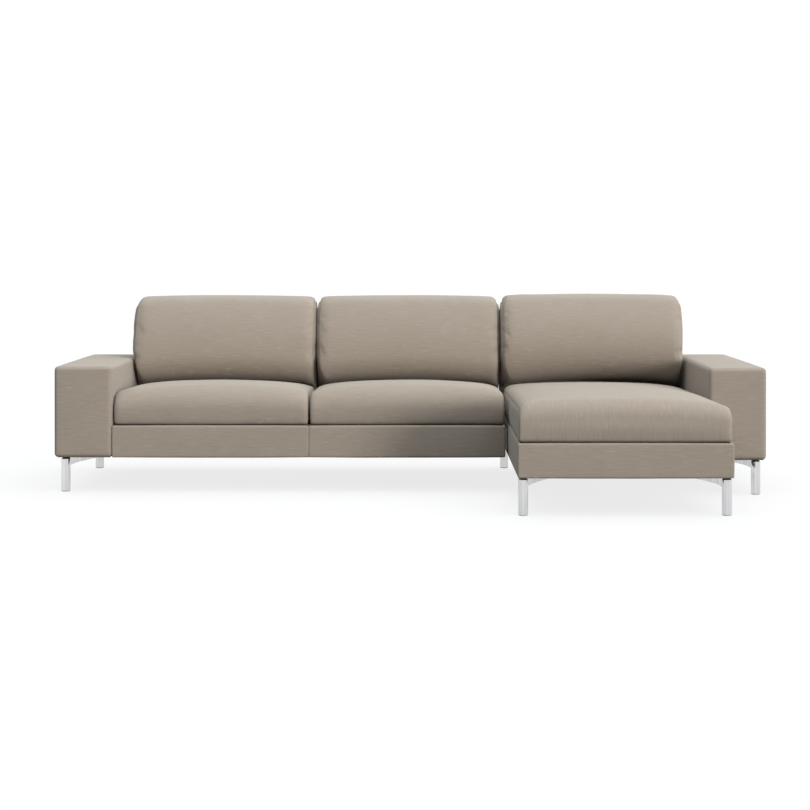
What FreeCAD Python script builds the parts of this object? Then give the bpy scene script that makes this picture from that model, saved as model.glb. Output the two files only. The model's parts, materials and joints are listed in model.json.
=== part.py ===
# Corner sofa: a two-seat module with a left arm, and a chaise module with a right arm.
#
# Frame of the model, in millimetres: +X to the sofa's right as one looks at it, +Y to its back,
# +Z up. The origin is on the floor, in the middle of the whole sofa's width and depth.
#
# Each module has a timber base with elastic straps and a deck pad, foam-backed front and side
# panels, a padded back frame and a box arm. Six loose cushions lie on the decks, and seven
# chromed legs with a diagonal wing bracket carry the whole. Two dovetail connectors join the
# modules, so the two-seat module has legs only under its own arm.

import FreeCAD, Part
import math
import os
import Sketcher

doc = FreeCAD.newDocument("CornerSofa")

# Driving sizes
SIZES = [
    ("arm_width", 245, "one arm, from its outer to its inner face"),
    ("seat_width", 850, "one seat of the two-seat module"),
    ("chaise_width", 850, "chaise module, without its arm"),
    ("module_gap", 14, "space between the two modules, which the connectors fill"),
    ("sofa_depth", 915, "two-seat module and left arm, front to rear"),
    ("right_arm_depth", 1015, "right arm, front to rear"),
    ("chaise_depth", 1625, "chaise module, front to rear"),
    ("underside", 150, "floor to the underside of the bases"),
    ("body_height", 393, "arms and backs, above the underside"),
    ("back_thickness", 110, "padded back frame, front to rear"),
    ("body_radius", 20, "rounding of the arms' and backs' edges"),
    ("cover", 10, "fabric quilted to its wadding, round the arms and backs"),
    ("padding", 8, "firm foam under the arms' and backs' covers"),
    ("panel", 14, "foam-backed panel round a base"),
    ("panel_radius", 6, "rounding of a panel's front edges"),
    ("dust_cover", 1, "black cloth under the bases"),
    ("rail_height", 120, "base rail"),
    ("rail_thickness", 36, "base rail"),
    ("block_leg", 70, "corner block, along each rail"),
    ("strap_thickness", 2, "elastic strap"),
    ("strap_width", 60, "elastic strap"),
    ("strap_margin", 60, "corner of a base to its first strap"),
    ("deck_pad", 17, "foam over the straps"),
    ("board", 18, "plywood of the arm frames"),
    ("hardboard", 4, "sheets on the arm and back frames"),
    ("post_width", 45, "back posts and top rails"),
    ("cushion_play", 1.5, "space at each side of a cushion"),
    ("rest_gap", 0.3, "space between a cushion and what it rests on"),
    ("seat_edge", 130, "seat cushion's height at its edges"),
    ("seat_crown", 42, "rise of a seat cushion's top"),
    ("seat_roll", 45, "rounding of a seat cushion's top rear edge"),
    ("sofa_nose", 80, "rounding of the two-seat module's cushions at their top front edge"),
    ("chaise_nose", 48, "rounding of the chaise's cushion at its top front edge"),
    ("seat_belly", 7, "swell of a seat cushion's front"),
    ("back_edge", 534, "back cushion's height at its edges"),
    ("back_crown", 12, "rise of a back cushion's top"),
    ("back_roll", 42, "rounding of a back cushion's top edges"),
    ("back_belly", 38, "swell of a back cushion's front"),
    ("back_foot", 148, "back cushion's thickness at its bottom"),
    ("back_head", 140, "back cushion's thickness at its top"),
    ("back_lean", 52, "how far a back cushion's top lies behind its bottom"),
    ("back_shoulder", 32, "how far a back cushion's top comes down beside its sides"),
    ("bottom_roll", 12, "rounding of the cushions' bottom edges"),
    ("side_roll", 36, "how far in from its sides a cushion starts to draw in"),
    ("side_tuck", 12, "how far a cushion's front and rear draw in at its sides"),
    ("leg_diameter", 40, "tube of a leg"),
    ("leg_wall", 2, "wall of the tube"),
    ("leg_cap", 4, "disc that closes the tube's top"),
    ("leg_setback", 40, "leg's centre to the front, rear or outer face"),
    ("chaise_leg_inset", 23, "leg's centre to the chaise's side"),
    ("collar_height", 8, "black collar between leg and base"),
    ("collar_diameter", 32, "black collar"),
    ("glide_height", 3, "glide under a leg"),
    ("glide_plug", 12, "glide, inside the tube"),
    ("wing_reach", 170, "wing bracket, beyond the tube"),
    ("wing_height", 41, "wing bracket, at the tube"),
    ("wing_throat", 28, "wing bracket, where its lower edge flattens"),
    ("wing_throat_reach", 46, "from the tube to where the wing's lower edge flattens"),
    ("wing_tip", 14, "wing bracket, at its tip"),
    ("wing_web", 6, "upright plate of the wing bracket"),
    ("flange_thickness", 3, "top plate of the wing bracket"),
    ("flange_width", 30, "top plate, at the leg"),
    ("flange_tip", 12, "top plate, at its tip"),
    ("joint_plate", 3, "steel plate under an arm and its base"),
    ("joint_length", 150, "steel plate, across the joint"),
    ("joint_width", 50, "steel plate, along the joint"),
    ("joint_inset", 230, "steel plate's centre from the arm's front or rear"),
    ("hook_plate", 4, "back plate of a connector half"),
    ("hook_height", 90, "connector half"),
    ("hook_width", 70, "connector half"),
    ("hook_inset", 160, "connector's centre from the sofa's front or rear"),
    ("hook_drop", 20, "connector above the underside"),
    ("tongue_top", 44, "dovetail tongue's width at its top"),
    ("tongue_bottom", 26, "dovetail tongue's width at its bottom"),
    ("tongue_height", 60, "dovetail tongue"),
    ("tongue_play", 0.5, "space between tongue and socket"),
]

sheet = doc.addObject("Spreadsheet::Sheet", "Sizes")
for row, (name, value, note) in enumerate(SIZES, start=1):
    sheet.set(f"A{row}", note)
    sheet.set(f"B{row}", str(value))
    sheet.setAlias(f"B{row}", name)
doc.recompute()

# Places, worked out from the driving sizes. Each may use the ones above it.
PLACES = [
    ("half_width", "Sizes.arm_width + Sizes.seat_width + (Sizes.module_gap + Sizes.chaise_width) / 2"),
    ("left", "-Places.half_width"),
    ("right", "Places.half_width"),
    ("left_arm_inner", "Places.left + Sizes.arm_width"),
    ("seam", "Places.left_arm_inner + Sizes.seat_width"),
    ("sofa_right", "Places.seam + Sizes.seat_width"),
    ("chaise_left", "Places.sofa_right + Sizes.module_gap"),
    ("chaise_right", "Places.chaise_left + Sizes.chaise_width"),
    ("rear", "Sizes.chaise_depth / 2"),
    ("chaise_front", "-Sizes.chaise_depth / 2"),
    ("sofa_front", "Places.rear - Sizes.sofa_depth"),
    ("right_arm_front", "Places.rear - Sizes.right_arm_depth"),
    ("back_front", "Places.rear - Sizes.back_thickness"),
    ("rail_bottom", "Sizes.underside + Sizes.dust_cover"),
    ("rail_top", "Places.rail_bottom + Sizes.rail_height"),
    ("strap_top", "Places.rail_top + Sizes.strap_thickness"),
    ("base_top", "Places.strap_top + Sizes.deck_pad"),
    ("body_top", "Sizes.underside + Sizes.body_height"),
    ("skin", "Sizes.cover + Sizes.padding"),
    ("tube_top", "Sizes.underside - Sizes.collar_height"),
    ("rear_rail_front", "Places.rear - Sizes.panel - Sizes.rail_thickness"),
    ("post_front", "Places.back_front + Places.skin + Sizes.hardboard"),
    ("cushion_bottom", "Places.base_top + Sizes.rest_gap"),
]

places = doc.addObject("App::VarSet", "Places")
for name, formula in PLACES:
    places.addProperty("App::PropertyFloat", name, "Places")
    places.setExpression(name, formula)
    doc.recompute()

nodes = {}

# Two places nearer to each other than this are taken as one
CLOSE = 0.01


def number(formula):
    """The present value of a formula in the sizes and places."""
    value = places.evalExpression(formula)
    return float(getattr(value, "Value", value))


def node(name, piece):
    """Name a finished sub-part. Its name is its file's name too."""
    piece.Label = name
    nodes[name] = piece
    return piece


def block(name, x, y, z):
    """A plain board between a low and a high place on each axis."""
    box = doc.addObject("Part::Box", name)
    for side, axis, (low, high) in zip(("Length", "Width", "Height"), "xyz", (x, y, z)):
        box.setExpression(side, f"({high}) - ({low})")
        box.setExpression(f"Placement.Base.{axis}", low)
    return box


def group(name, pieces):
    """A sub-part of several like pieces, kept as separate solids."""
    together = doc.addObject("Part::Compound", name)
    together.Links = pieces
    return node(name, together)


def sketch_on(body, role, level="0"):
    """An empty sketch on one of the body's own origin planes, or at a level above it."""
    drawing = body.newObject("Sketcher::SketchObject", f"{body.Name}_sketch")
    plane = next(item for item in body.Origin.OriginFeatures if item.Role == role)
    drawing.AttachmentSupport = [(plane, "")]
    drawing.MapMode = "FlatFace"
    drawing.setExpression("AttachmentOffset.Base.z", level)
    return drawing


def draw_outline(drawing, corners):
    """A closed outline of straight lines whose corners are held at formulas from the origin."""
    start = [FreeCAD.Vector(number(across), number(up), 0) for across, up in corners]
    count = len(corners)
    first = drawing.GeometryCount
    for i in range(count):
        drawing.addGeometry(Part.LineSegment(start[i], start[(i + 1) % count]), False)
    for i, (across, up) in enumerate(corners):
        line = first + i
        following = first + (i + 1) % count
        drawing.addConstraint(Sketcher.Constraint("Coincident", line, 2, following, 1))
        for kind, value, formula in (("DistanceX", start[i].x, across), ("DistanceY", start[i].y, up)):
            held = drawing.addConstraint(Sketcher.Constraint(kind, -1, 1, line, 1, value))
            drawing.setExpression(f"Constraints[{held}]", formula)


def pad(body, drawing, length, both_ways=False):
    """Give an outline its thickness, to one side or evenly to both."""
    feature = body.newObject("PartDesign::Pad", f"{body.Name}_pad")
    feature.Profile = drawing
    feature.setExpression("Length", length)
    if both_ways:
        feature.SideType = "Symmetric"
    return feature


def prism(name, role, corners, low, high):
    """A board of any straight outline. XY_Plane extends it upwards, YZ_Plane to the right."""
    body = doc.addObject("PartDesign::Body", name)
    drawing = sketch_on(body, role, low)
    draw_outline(drawing, corners)
    pad(body, drawing, f"({high}) - ({low})")
    return body


def box_corners(x, y):
    """The four corners of a rectangle."""
    return [(x[0], y[0]), (x[1], y[0]), (x[1], y[1]), (x[0], y[1])]


def rounded_box(name, x, y, z, radius, is_rounded):
    """A box whose edges are rounded where is_rounded says so of an edge."""
    body = prism(name, "XY_Plane", box_corners(x, y), *z)
    doc.recompute()
    solid = body.Tip
    edges = [f"Edge{i}" for i, edge in enumerate(solid.Shape.Edges, start=1) if is_rounded(edge)]
    rounding = body.newObject("PartDesign::Fillet", f"{name}_rounding")
    rounding.Base = (solid, edges)
    rounding.setExpression("Radius", radius)
    doc.recompute()
    return body


def pocket_from_below(body, x, y, low, high):
    """Cut a square-cornered space upwards into a piece."""
    drawing = sketch_on(body, "XY_Plane", low)
    draw_outline(drawing, box_corners(x, y))
    space = body.newObject("PartDesign::Pocket", f"{body.Name}_space")
    space.Profile = drawing
    space.Reversed = True
    space.setExpression("Length", f"({high}) - ({low})")


def inside(span, wall):
    """A low and a high place, each moved inwards by a wall."""
    return (f"{span[0]} + {wall}", f"{span[1]} - {wall}")


def above_the_bottom(edge):
    """Picks every edge of an arm but the four round its bottom."""
    return edge.BoundBox.ZMax - number("Sizes.underside") > 1


def along_the_top(edge):
    """Picks a back's two top edges that run along X."""
    return edge.BoundBox.XLength > 1 and number("Places.body_top") - edge.BoundBox.ZMin < CLOSE


def upholstery(prefix, x, y, z, is_rounded):
    """Cover and foam of an arm or a back: two shells, one inside the other, open at the bottom."""
    low, high = z
    cover = rounded_box(f"{prefix}_cover", x, y, z, "min(Sizes.body_radius; 2 * Sizes.cover)", is_rounded)
    room_x = inside(x, "Sizes.cover")
    room_y = inside(y, "Sizes.cover")
    room_high = f"{high} - Sizes.cover"
    pocket_from_below(cover, room_x, room_y, low, room_high)
    foam_low = f"{low} + Sizes.dust_cover"
    padding = prism(f"{prefix}_padding", "XY_Plane", box_corners(room_x, room_y), foam_low, room_high)
    pocket_from_below(
        padding, inside(x, "Places.skin"), inside(y, "Places.skin"), foam_low, f"{high} - Places.skin",
    )
    node(f"{prefix}_cover", cover)
    node(f"{prefix}_padding", padding)


# Bases
RAIL_Z = ("Places.rail_bottom", "Places.rail_top")
PANEL_Z = ("Sizes.underside", "Places.base_top")


def rails(prefix, x, front):
    """Front and rear rail, the seat rail under the back's front, and the two side rails."""
    front_y = (front, f"{front} + Sizes.rail_thickness")
    rear_y = ("Places.rear_rail_front", "Places.rear - Sizes.panel")
    seat_y = ("Places.back_front", "Places.back_front + Sizes.rail_thickness")
    side_y = (front_y[1], "Places.rear_rail_front")
    for place, span, y in (
        ("front", x, front_y),
        ("rear", x, rear_y),
        ("seat", inside(x, "Sizes.rail_thickness"), seat_y),
    ):
        name = f"{prefix}_{place}_rail"
        node(name, block(name, span, y, RAIL_Z))
    left = block(f"{prefix}_left_rail", (x[0], f"{x[0]} + Sizes.rail_thickness"), side_y, RAIL_Z)
    right = block(f"{prefix}_right_rail", (f"{x[1]} - Sizes.rail_thickness", x[1]), side_y, RAIL_Z)
    group(f"{prefix}_side_rails", [left, right])


def corner_blocks(prefix, x, front):
    """Triangular glue blocks in the two front corners and the two before the seat rail."""
    pieces = []
    for end, corner_y, deep in (
        ("front", f"{front} + Sizes.rail_thickness", "Sizes.block_leg"),
        ("rear", "Places.back_front", "-Sizes.block_leg"),
    ):
        for side, corner_x, across in (
            ("left", f"{x[0]} + Sizes.rail_thickness", "Sizes.block_leg"),
            ("right", f"{x[1]} - Sizes.rail_thickness", "-Sizes.block_leg"),
        ):
            corners = [
                (corner_x, corner_y),
                (f"{corner_x} + {across}", corner_y),
                (corner_x, f"{corner_y} + {deep}"),
            ]
            pieces.append(prism(f"{prefix}_{end}_{side}_block", "XY_Plane", corners, *RAIL_Z))
    group(f"{prefix}_corner_blocks", pieces)


def webbing(prefix, count, x, y, across):
    """Elastic straps from front to rear, or from side to side where across is true."""
    run = y if across else x
    free = f"(({run[1]}) - ({run[0]}) - 2 * Sizes.strap_margin - Sizes.strap_width)"
    z = ("Places.rail_top", "Places.strap_top")
    pieces = []
    for i in range(count):
        low = f"{run[0]} + Sizes.strap_margin + {free} * {i} / {count - 1}"
        span = (low, f"{low} + Sizes.strap_width")
        sides = (x, span, z) if across else (span, y, z)
        pieces.append(block(f"{prefix}_strap", *sides))
    group(f"{prefix}_webbing", pieces)


def deck_pad(prefix, x, front):
    """The foam over the straps, up to the back's front."""
    name = f"{prefix}_deck_pad"
    node(name, block(name, x, (front, "Places.back_front"), ("Places.strap_top", "Places.base_top")))


def panel(name, x, y, is_rounded):
    """A foam-backed panel, as tall as the base, with soft outer edges."""
    radius = "min(Sizes.panel_radius; Sizes.panel / 2)"
    node(name, rounded_box(name, x, y, PANEL_Z, radius, is_rounded))


def in_plane(axis, place):
    """Picks the edges that lie wholly in a plane across X or Y."""
    def test(edge):
        box = edge.BoundBox
        low, high = (box.XMin, box.XMax) if axis == "x" else (box.YMin, box.YMax)
        return max(abs(low - number(place)), abs(high - number(place))) < CLOSE
    return test


def long_edges(place):
    """Picks the two edges along Y in the plane of a side panel's outer face."""
    def test(edge):
        return edge.BoundBox.YLength > 1 and in_plane("x", place)(edge)
    return test


# Backs
def back_frame(prefix, x, posts):
    """Posts, top rail, hardboard, foam and cover of one module's back."""
    upholstery(
        f"{prefix}_back", x, ("Places.back_front", "Places.rear"),
        ("Places.base_top", "Places.body_top"), along_the_top,
    )
    room = inside(x, "Places.skin")
    y = ("Places.post_front", "Places.rear - Places.skin")
    top = "Places.body_top - Places.skin"
    rail_low = f"{top} - Sizes.post_width"
    rail_name = f"{prefix}_back_top_rail"
    node(rail_name, block(rail_name, room, y, (rail_low, top)))
    board_y = ("Places.back_front + Places.skin", "Places.post_front")
    board_name = f"{prefix}_back_board"
    node(board_name, block(board_name, room, board_y, ("Places.base_top", top)))
    pieces = []
    for i in range(posts):
        low = f"{room[0]} + (({room[1]}) - ({room[0]}) - Sizes.post_width) * {i} / {posts - 1}"
        span = (low, f"{low} + Sizes.post_width")
        pieces.append(block(f"{prefix}_back_post", span, y, ("Places.rail_top", rail_low)))
    group(f"{prefix}_back_posts", pieces)


# Arms
def arm(side, x, front):
    """One box arm: plywood frame between two hardboard sheets, foam and cover."""
    y = (front, "Places.rear")
    upholstery(f"{side}_arm", x, y, ("Sizes.underside", "Places.body_top"), above_the_bottom)
    room_x = inside(x, "Places.skin")
    room_y = inside(y, "Places.skin")
    low = "Places.rail_bottom"
    high = "Places.body_top - Places.skin"
    core_x = inside(room_x, "Sizes.hardboard")
    core_z = (f"{low} + Sizes.board", f"{high} - Sizes.board")
    middle = f"(({room_y[0]}) + ({room_y[1]}) - Sizes.board) / 2"
    boards = [
        block(f"{side}_arm_bottom", core_x, room_y, (low, core_z[0])),
        block(f"{side}_arm_top", core_x, room_y, (core_z[1], high)),
        block(f"{side}_arm_front", core_x, (room_y[0], f"{room_y[0]} + Sizes.board"), core_z),
        block(f"{side}_arm_middle", core_x, (middle, f"{middle} + Sizes.board"), core_z),
        block(f"{side}_arm_rear", core_x, (f"{room_y[1]} - Sizes.board", room_y[1]), core_z),
        block(f"{side}_arm_left_sheet", (room_x[0], core_x[0]), room_y, (low, high)),
        block(f"{side}_arm_right_sheet", (core_x[1], room_x[1]), room_y, (low, high)),
    ]
    group(f"{side}_arm_frame", boards)


def joint_plates(side, joint, front):
    """Two steel plates, screwed from below across the joint between an arm and its base."""
    x = (f"{joint} - Sizes.joint_length / 2", f"{joint} + Sizes.joint_length / 2")
    z = ("Sizes.underside - Sizes.joint_plate", "Sizes.underside")
    pieces = []
    for centre in (f"{front} + Sizes.joint_inset", "Places.rear - Sizes.joint_inset"):
        y = (f"{centre} - Sizes.joint_width / 2", f"{centre} + Sizes.joint_width / 2")
        pieces.append(block(f"{side}_joint_plate", x, y, z))
    return pieces


# Legs
def leg(name, heading):
    """A tube with a closed top, and a wing bracket that runs inwards at a heading in degrees."""
    body = doc.addObject("PartDesign::Body", name)
    half = "Sizes.leg_diameter / 2"
    wall = f"{half} - Sizes.leg_wall"
    profile = sketch_on(body, "XZ_Plane")
    draw_outline(profile, [
        (wall, "Sizes.glide_height"),
        (half, "Sizes.glide_height"),
        (half, "Places.tube_top"),
        ("0", "Places.tube_top"),
        ("0", "Places.tube_top - Sizes.leg_cap"),
        (wall, "Places.tube_top - Sizes.leg_cap"),
    ])
    tube = body.newObject("PartDesign::Revolution", f"{name}_tube")
    tube.Profile = profile
    tube.ReferenceAxis = (profile, ["V_Axis"])
    tube.Angle = 360
    root = f"{half} - Sizes.leg_wall / 2"
    tip = f"{half} + Sizes.wing_reach"
    web = sketch_on(body, "XZ_Plane")
    draw_outline(web, [
        (root, "Sizes.underside - Sizes.wing_height"),
        (f"{half} + Sizes.wing_throat_reach", "Sizes.underside - Sizes.wing_throat"),
        (tip, "Sizes.underside - Sizes.wing_tip"),
        (tip, "Sizes.underside"),
        (root, "Sizes.underside"),
    ])
    pad(body, web, "Sizes.wing_web", both_ways=True)
    flange = sketch_on(body, "XY_Plane", "Sizes.underside - Sizes.flange_thickness")
    draw_outline(flange, [
        (root, "-Sizes.flange_width / 2"),
        (tip, "-Sizes.flange_tip / 2"),
        (tip, "Sizes.flange_tip / 2"),
        (root, "Sizes.flange_width / 2"),
    ])
    pad(body, flange, "Sizes.flange_thickness")
    body.Placement.Rotation = FreeCAD.Rotation(FreeCAD.Vector(0, 0, 1), heading)
    return body


def upright_disc(name, diameter, low, high):
    """A round piece between two heights: a collar on top of a tube, or a glide in its foot."""
    disc = doc.addObject("Part::Cylinder", name)
    disc.setExpression("Radius", f"({diameter}) / 2")
    disc.setExpression("Height", f"({high}) - ({low})")
    disc.setExpression("Placement.Base.z", low)
    return disc


def stand_at(piece, x, y):
    """Put a leg's piece at the leg's place."""
    piece.setExpression("Placement.Base.x", x)
    piece.setExpression("Placement.Base.y", y)
    return piece


# Cushions
def cushion_section(at, corners, rolls, swells):
    """One closed cross-section of a cushion, across X.

    corners are (y, z) pairs, anticlockwise as seen from +X: bottom front, bottom rear, top rear and
    top front. rolls are the corners' roundings, and the two bottom ones are cut off straight.
    swells say how far each side, from its corner to the next, stands out in its middle.
    """
    count = len(corners)
    turns = []
    for i, (y, z) in enumerate(corners):
        before = FreeCAD.Vector(at, *corners[i - 1])
        after = FreeCAD.Vector(at, *corners[(i + 1) % count])
        corner = FreeCAD.Vector(at, y, z)
        back = (before - corner).normalize() * rolls[i]
        onward = (after - corner).normalize() * rolls[i]
        turns.append((corner + back, corner + (back + onward) * (1 - math.sqrt(0.5)), corner + onward))
    edges = []
    for i, (start, middle, end) in enumerate(turns):
        is_bottom = i < 2
        corner_edge = Part.LineSegment(start, end) if is_bottom else Part.Arc(start, middle, end)
        edges.append(corner_edge.toShape())
        following = turns[(i + 1) % count][0]
        if swells[i] == 0:
            edges.append(Part.LineSegment(end, following).toShape())
            continue
        along = following - end
        outward = FreeCAD.Vector(0, along.z, -along.y).normalize() * swells[i]
        edges.append(Part.Arc(end, end + along * 0.5 + outward, following).toShape())
    return Part.Wire(edges)


def drawn_in(distance):
    """Share by which a cushion has drawn in at a distance from its side: a quarter round, 1 at the side."""
    reach = number("Sizes.side_roll")
    left = max(0, (reach - distance) / reach)
    return 1 - math.sqrt(1 - left * left)


def stations(width):
    """Where the sections lie between a cushion's two sides: close together near its sides."""
    roll = number("Sizes.side_roll")
    near = [0, roll / 4, roll, width / 4, width / 2]
    return near + [width - place for place in reversed(near[:-1])]


def cushion(name, x, profile):
    """A loose cushion between two places along X, lofted from side to side.

    profile(share, fullness) gives a section's corners, rolls and swells. share is how much of the
    drawing in at the sides it has, and fullness is 0 at the sides and 1 in the middle.
    """
    low = number(x[0]) + number("Sizes.cushion_play")
    width = number(x[1]) - number("Sizes.cushion_play") - low
    sections = []
    for place in stations(width):
        fullness = math.sqrt(1 - (2 * place / width - 1) ** 2)
        share = drawn_in(min(place, width - place))
        sections.append(cushion_section(low + place, *profile(share, fullness)))
    piece = doc.addObject("Part::Feature", name)
    piece.Shape = Part.makeLoft(sections, True, True)
    return node(name, piece)


def seat_profile(front, rear, nose):
    """Section of a seat cushion from its front to its rear place: flat below, crowned above."""
    def profile(share, fullness):
        low = number("Places.cushion_bottom")
        high = low + number("Sizes.seat_edge")
        belly = number("Sizes.seat_belly")
        tuck = number("Sizes.side_tuck") * share
        near = front + belly + tuck
        far = rear - tuck
        corners = [(near, low), (far, low), (far, high), (near, high)]
        bottom = number("Sizes.bottom_roll")
        rise = number("Sizes.seat_crown") * fullness
        return corners, (bottom, bottom, number("Sizes.seat_roll"), nose), (0, 0, rise, belly * fullness)
    return profile


def back_profile(share, fullness):
    """Section of a back cushion. It stands on the deck and leans on the back's top edge."""
    tuck = number("Sizes.side_tuck") * share
    shoulder = number("Sizes.back_shoulder") * share
    low = number("Places.cushion_bottom")
    tall = number("Sizes.back_edge")
    lean = number("Sizes.back_lean")
    touch = number("Places.body_top - Places.cushion_bottom") / tall
    far_low = number("Places.back_front - Sizes.rest_gap") - lean * touch
    near_low = far_low - number("Sizes.back_foot")
    far_high = far_low + lean
    near_high = far_high - number("Sizes.back_head")
    high = low + tall - shoulder + number("Sizes.back_crown") * fullness
    corners = [
        (near_low + tuck, low),
        (far_low - tuck, low),
        (far_high - tuck, high),
        (near_high + tuck, high),
    ]
    bottom = number("Sizes.bottom_roll")
    top = number("Sizes.back_roll")
    return corners, (bottom, bottom, top, top), (0, 0, 0, number("Sizes.back_belly") * fullness)


# Spans of the two bases inside their panels, and of the three seats
SOFA_X = ("Places.left_arm_inner", "Places.sofa_right - Sizes.panel")
SOFA_FRONT = "Places.sofa_front + Sizes.panel"
CHAISE_X = ("Places.chaise_left + Sizes.panel", "Places.chaise_right - Sizes.panel")
CHAISE_FRONT = "Places.chaise_front + Sizes.panel"
REAR_INSIDE = "Places.rear - Sizes.panel"
LEFT_SEAT = ("Places.left_arm_inner", "Places.seam")
MIDDLE_SEAT = ("Places.seam", "Places.sofa_right")
TWO_SEATS = ("Places.left_arm_inner", "Places.sofa_right")
CHAISE_SEAT = ("Places.chaise_left", "Places.chaise_right")
LEFT_ARM = ("Places.left", "Places.left_arm_inner")
RIGHT_ARM = ("Places.chaise_right", "Places.right")
REAR_PANEL_Y = (REAR_INSIDE, "Places.rear")

# Two-seat module
rails("sofa", SOFA_X, SOFA_FRONT)
node("sofa_centre_rail", block(
    "sofa_centre_rail",
    ("Places.seam - Sizes.rail_thickness / 2", "Places.seam + Sizes.rail_thickness / 2"),
    (f"{SOFA_FRONT} + Sizes.rail_thickness", "Places.back_front"),
    RAIL_Z,
))
corner_blocks("sofa", SOFA_X, SOFA_FRONT)
webbing("sofa", 13, SOFA_X, (SOFA_FRONT, "Places.post_front"), across=False)
deck_pad("sofa", SOFA_X, SOFA_FRONT)
SOFA_PANEL_Y = ("Places.sofa_front", SOFA_FRONT)
panel("left_front_panel", LEFT_SEAT, SOFA_PANEL_Y, in_plane("y", "Places.sofa_front"))
panel("middle_front_panel", MIDDLE_SEAT, SOFA_PANEL_Y, in_plane("y", "Places.sofa_front"))
panel("sofa_end_panel", ("Places.sofa_right - Sizes.panel", "Places.sofa_right"),
      (SOFA_FRONT, REAR_INSIDE), long_edges("Places.sofa_right"))
panel("sofa_rear_panel", TWO_SEATS, REAR_PANEL_Y, in_plane("y", "Places.rear"))
back_frame("sofa", TWO_SEATS, 4)

# Chaise module
rails("chaise", CHAISE_X, CHAISE_FRONT)
cross_run = f"(Places.back_front - ({CHAISE_FRONT}) - Sizes.rail_thickness)"
cross_rails = []
for share in (1, 2):
    low = f"{CHAISE_FRONT} + Sizes.rail_thickness / 2 + {cross_run} * {share} / 3"
    cross_rails.append(block(
        "chaise_cross_rail", inside(CHAISE_X, "Sizes.rail_thickness"),
        (low, f"{low} + Sizes.rail_thickness"), RAIL_Z,
    ))
group("chaise_cross_rails", cross_rails)
corner_blocks("chaise", CHAISE_X, CHAISE_FRONT)
webbing("chaise", 11, CHAISE_X, (CHAISE_FRONT, "Places.back_front"), across=True)
deck_pad("chaise", CHAISE_X, CHAISE_FRONT)
panel("chaise_front_panel", CHAISE_SEAT, ("Places.chaise_front", CHAISE_FRONT),
      in_plane("y", "Places.chaise_front"))
CHAISE_SIDE_Y = (CHAISE_FRONT, REAR_INSIDE)
panel("chaise_left_panel", ("Places.chaise_left", "Places.chaise_left + Sizes.panel"),
      CHAISE_SIDE_Y, long_edges("Places.chaise_left"))
panel("chaise_right_panel", ("Places.chaise_right - Sizes.panel", "Places.chaise_right"),
      CHAISE_SIDE_Y, long_edges("Places.chaise_right"))
panel("chaise_rear_panel", CHAISE_SEAT, REAR_PANEL_Y, in_plane("y", "Places.rear"))
back_frame("chaise", CHAISE_SEAT, 3)

# Arms, and the cloth under everything
arm("left", LEFT_ARM, "Places.sofa_front")
arm("right", RIGHT_ARM, "Places.right_arm_front")
group("joint_plates", [
    *joint_plates("left", "Places.left_arm_inner", "Places.sofa_front"),
    *joint_plates("right", "Places.chaise_right", "Places.right_arm_front"),
])
DUST_Z = ("Sizes.underside", "Places.rail_bottom")
cloths = []
for place, x, y in (
    ("sofa", SOFA_X, (SOFA_FRONT, REAR_INSIDE)),
    ("chaise", CHAISE_X, (CHAISE_FRONT, REAR_INSIDE)),
    ("left_arm", inside(LEFT_ARM, "Sizes.cover"), inside(("Places.sofa_front", "Places.rear"), "Sizes.cover")),
    ("right_arm", inside(RIGHT_ARM, "Sizes.cover"),
     inside(("Places.right_arm_front", "Places.rear"), "Sizes.cover")),
):
    cloths.append(block(f"{place}_cloth", x, y, DUST_Z))
group("dust_covers", cloths)

# Legs, each with its collar and its glide
LEFT_LEG_X = "Places.left + Sizes.leg_setback"
RIGHT_LEG_X = "Places.right - Sizes.leg_setback"
CHAISE_LEFT_LEG_X = "Places.chaise_left + Sizes.chaise_leg_inset"
CHAISE_RIGHT_LEG_X = "Places.chaise_right - Sizes.chaise_leg_inset"
SOFA_LEG_Y = "Places.sofa_front + Sizes.leg_setback"
ARM_LEG_Y = "Places.right_arm_front + Sizes.leg_setback"
CHAISE_LEG_Y = "Places.chaise_front + Sizes.leg_setback"
REAR_LEG_Y = "Places.rear - Sizes.leg_setback"
LEG_SETS = {
    "left_arm_legs": [(LEFT_LEG_X, SOFA_LEG_Y, 45), (LEFT_LEG_X, REAR_LEG_Y, -45)],
    "chaise_legs": [
        (CHAISE_LEFT_LEG_X, CHAISE_LEG_Y, 45),
        (CHAISE_RIGHT_LEG_X, CHAISE_LEG_Y, 135),
        (CHAISE_LEFT_LEG_X, REAR_LEG_Y, -45),
    ],
    "right_arm_legs": [(RIGHT_LEG_X, ARM_LEG_Y, 135), (RIGHT_LEG_X, REAR_LEG_Y, -135)],
}
collars = []
glides = []
for set_name, places_in_set in LEG_SETS.items():
    legs = []
    for i, (x, y, heading) in enumerate(places_in_set, start=1):
        name = f"{set_name}_{i}"
        legs.append(stand_at(leg(name, heading), x, y))
        collar = upright_disc(f"{name}_collar", "Sizes.collar_diameter", "Places.tube_top", "Sizes.underside")
        collars.append(stand_at(collar, x, y))
        bore = "Sizes.leg_diameter - 2 * Sizes.leg_wall"
        glide = upright_disc(f"{name}_glide", bore, "0", "Sizes.glide_height + Sizes.glide_plug")
        glides.append(stand_at(glide, x, y))
    group(set_name, legs)
group("leg_collars", collars)
group("leg_glides", glides)


# Connectors between the modules
def trapezoid(centre, low, extra):
    """A dovetail's outline, wider at its top and larger by extra on every side."""
    top = f"(Sizes.tongue_top / 2 + {extra})"
    bottom = f"(Sizes.tongue_bottom / 2 + {extra})"
    high = f"{low} + Sizes.tongue_height"
    return [
        (f"{centre} - {bottom}", f"{low} - {extra}"),
        (f"{centre} + {bottom}", f"{low} - {extra}"),
        (f"{centre} + {top}", high),
        (f"{centre} - {top}", high),
    ]


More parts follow.
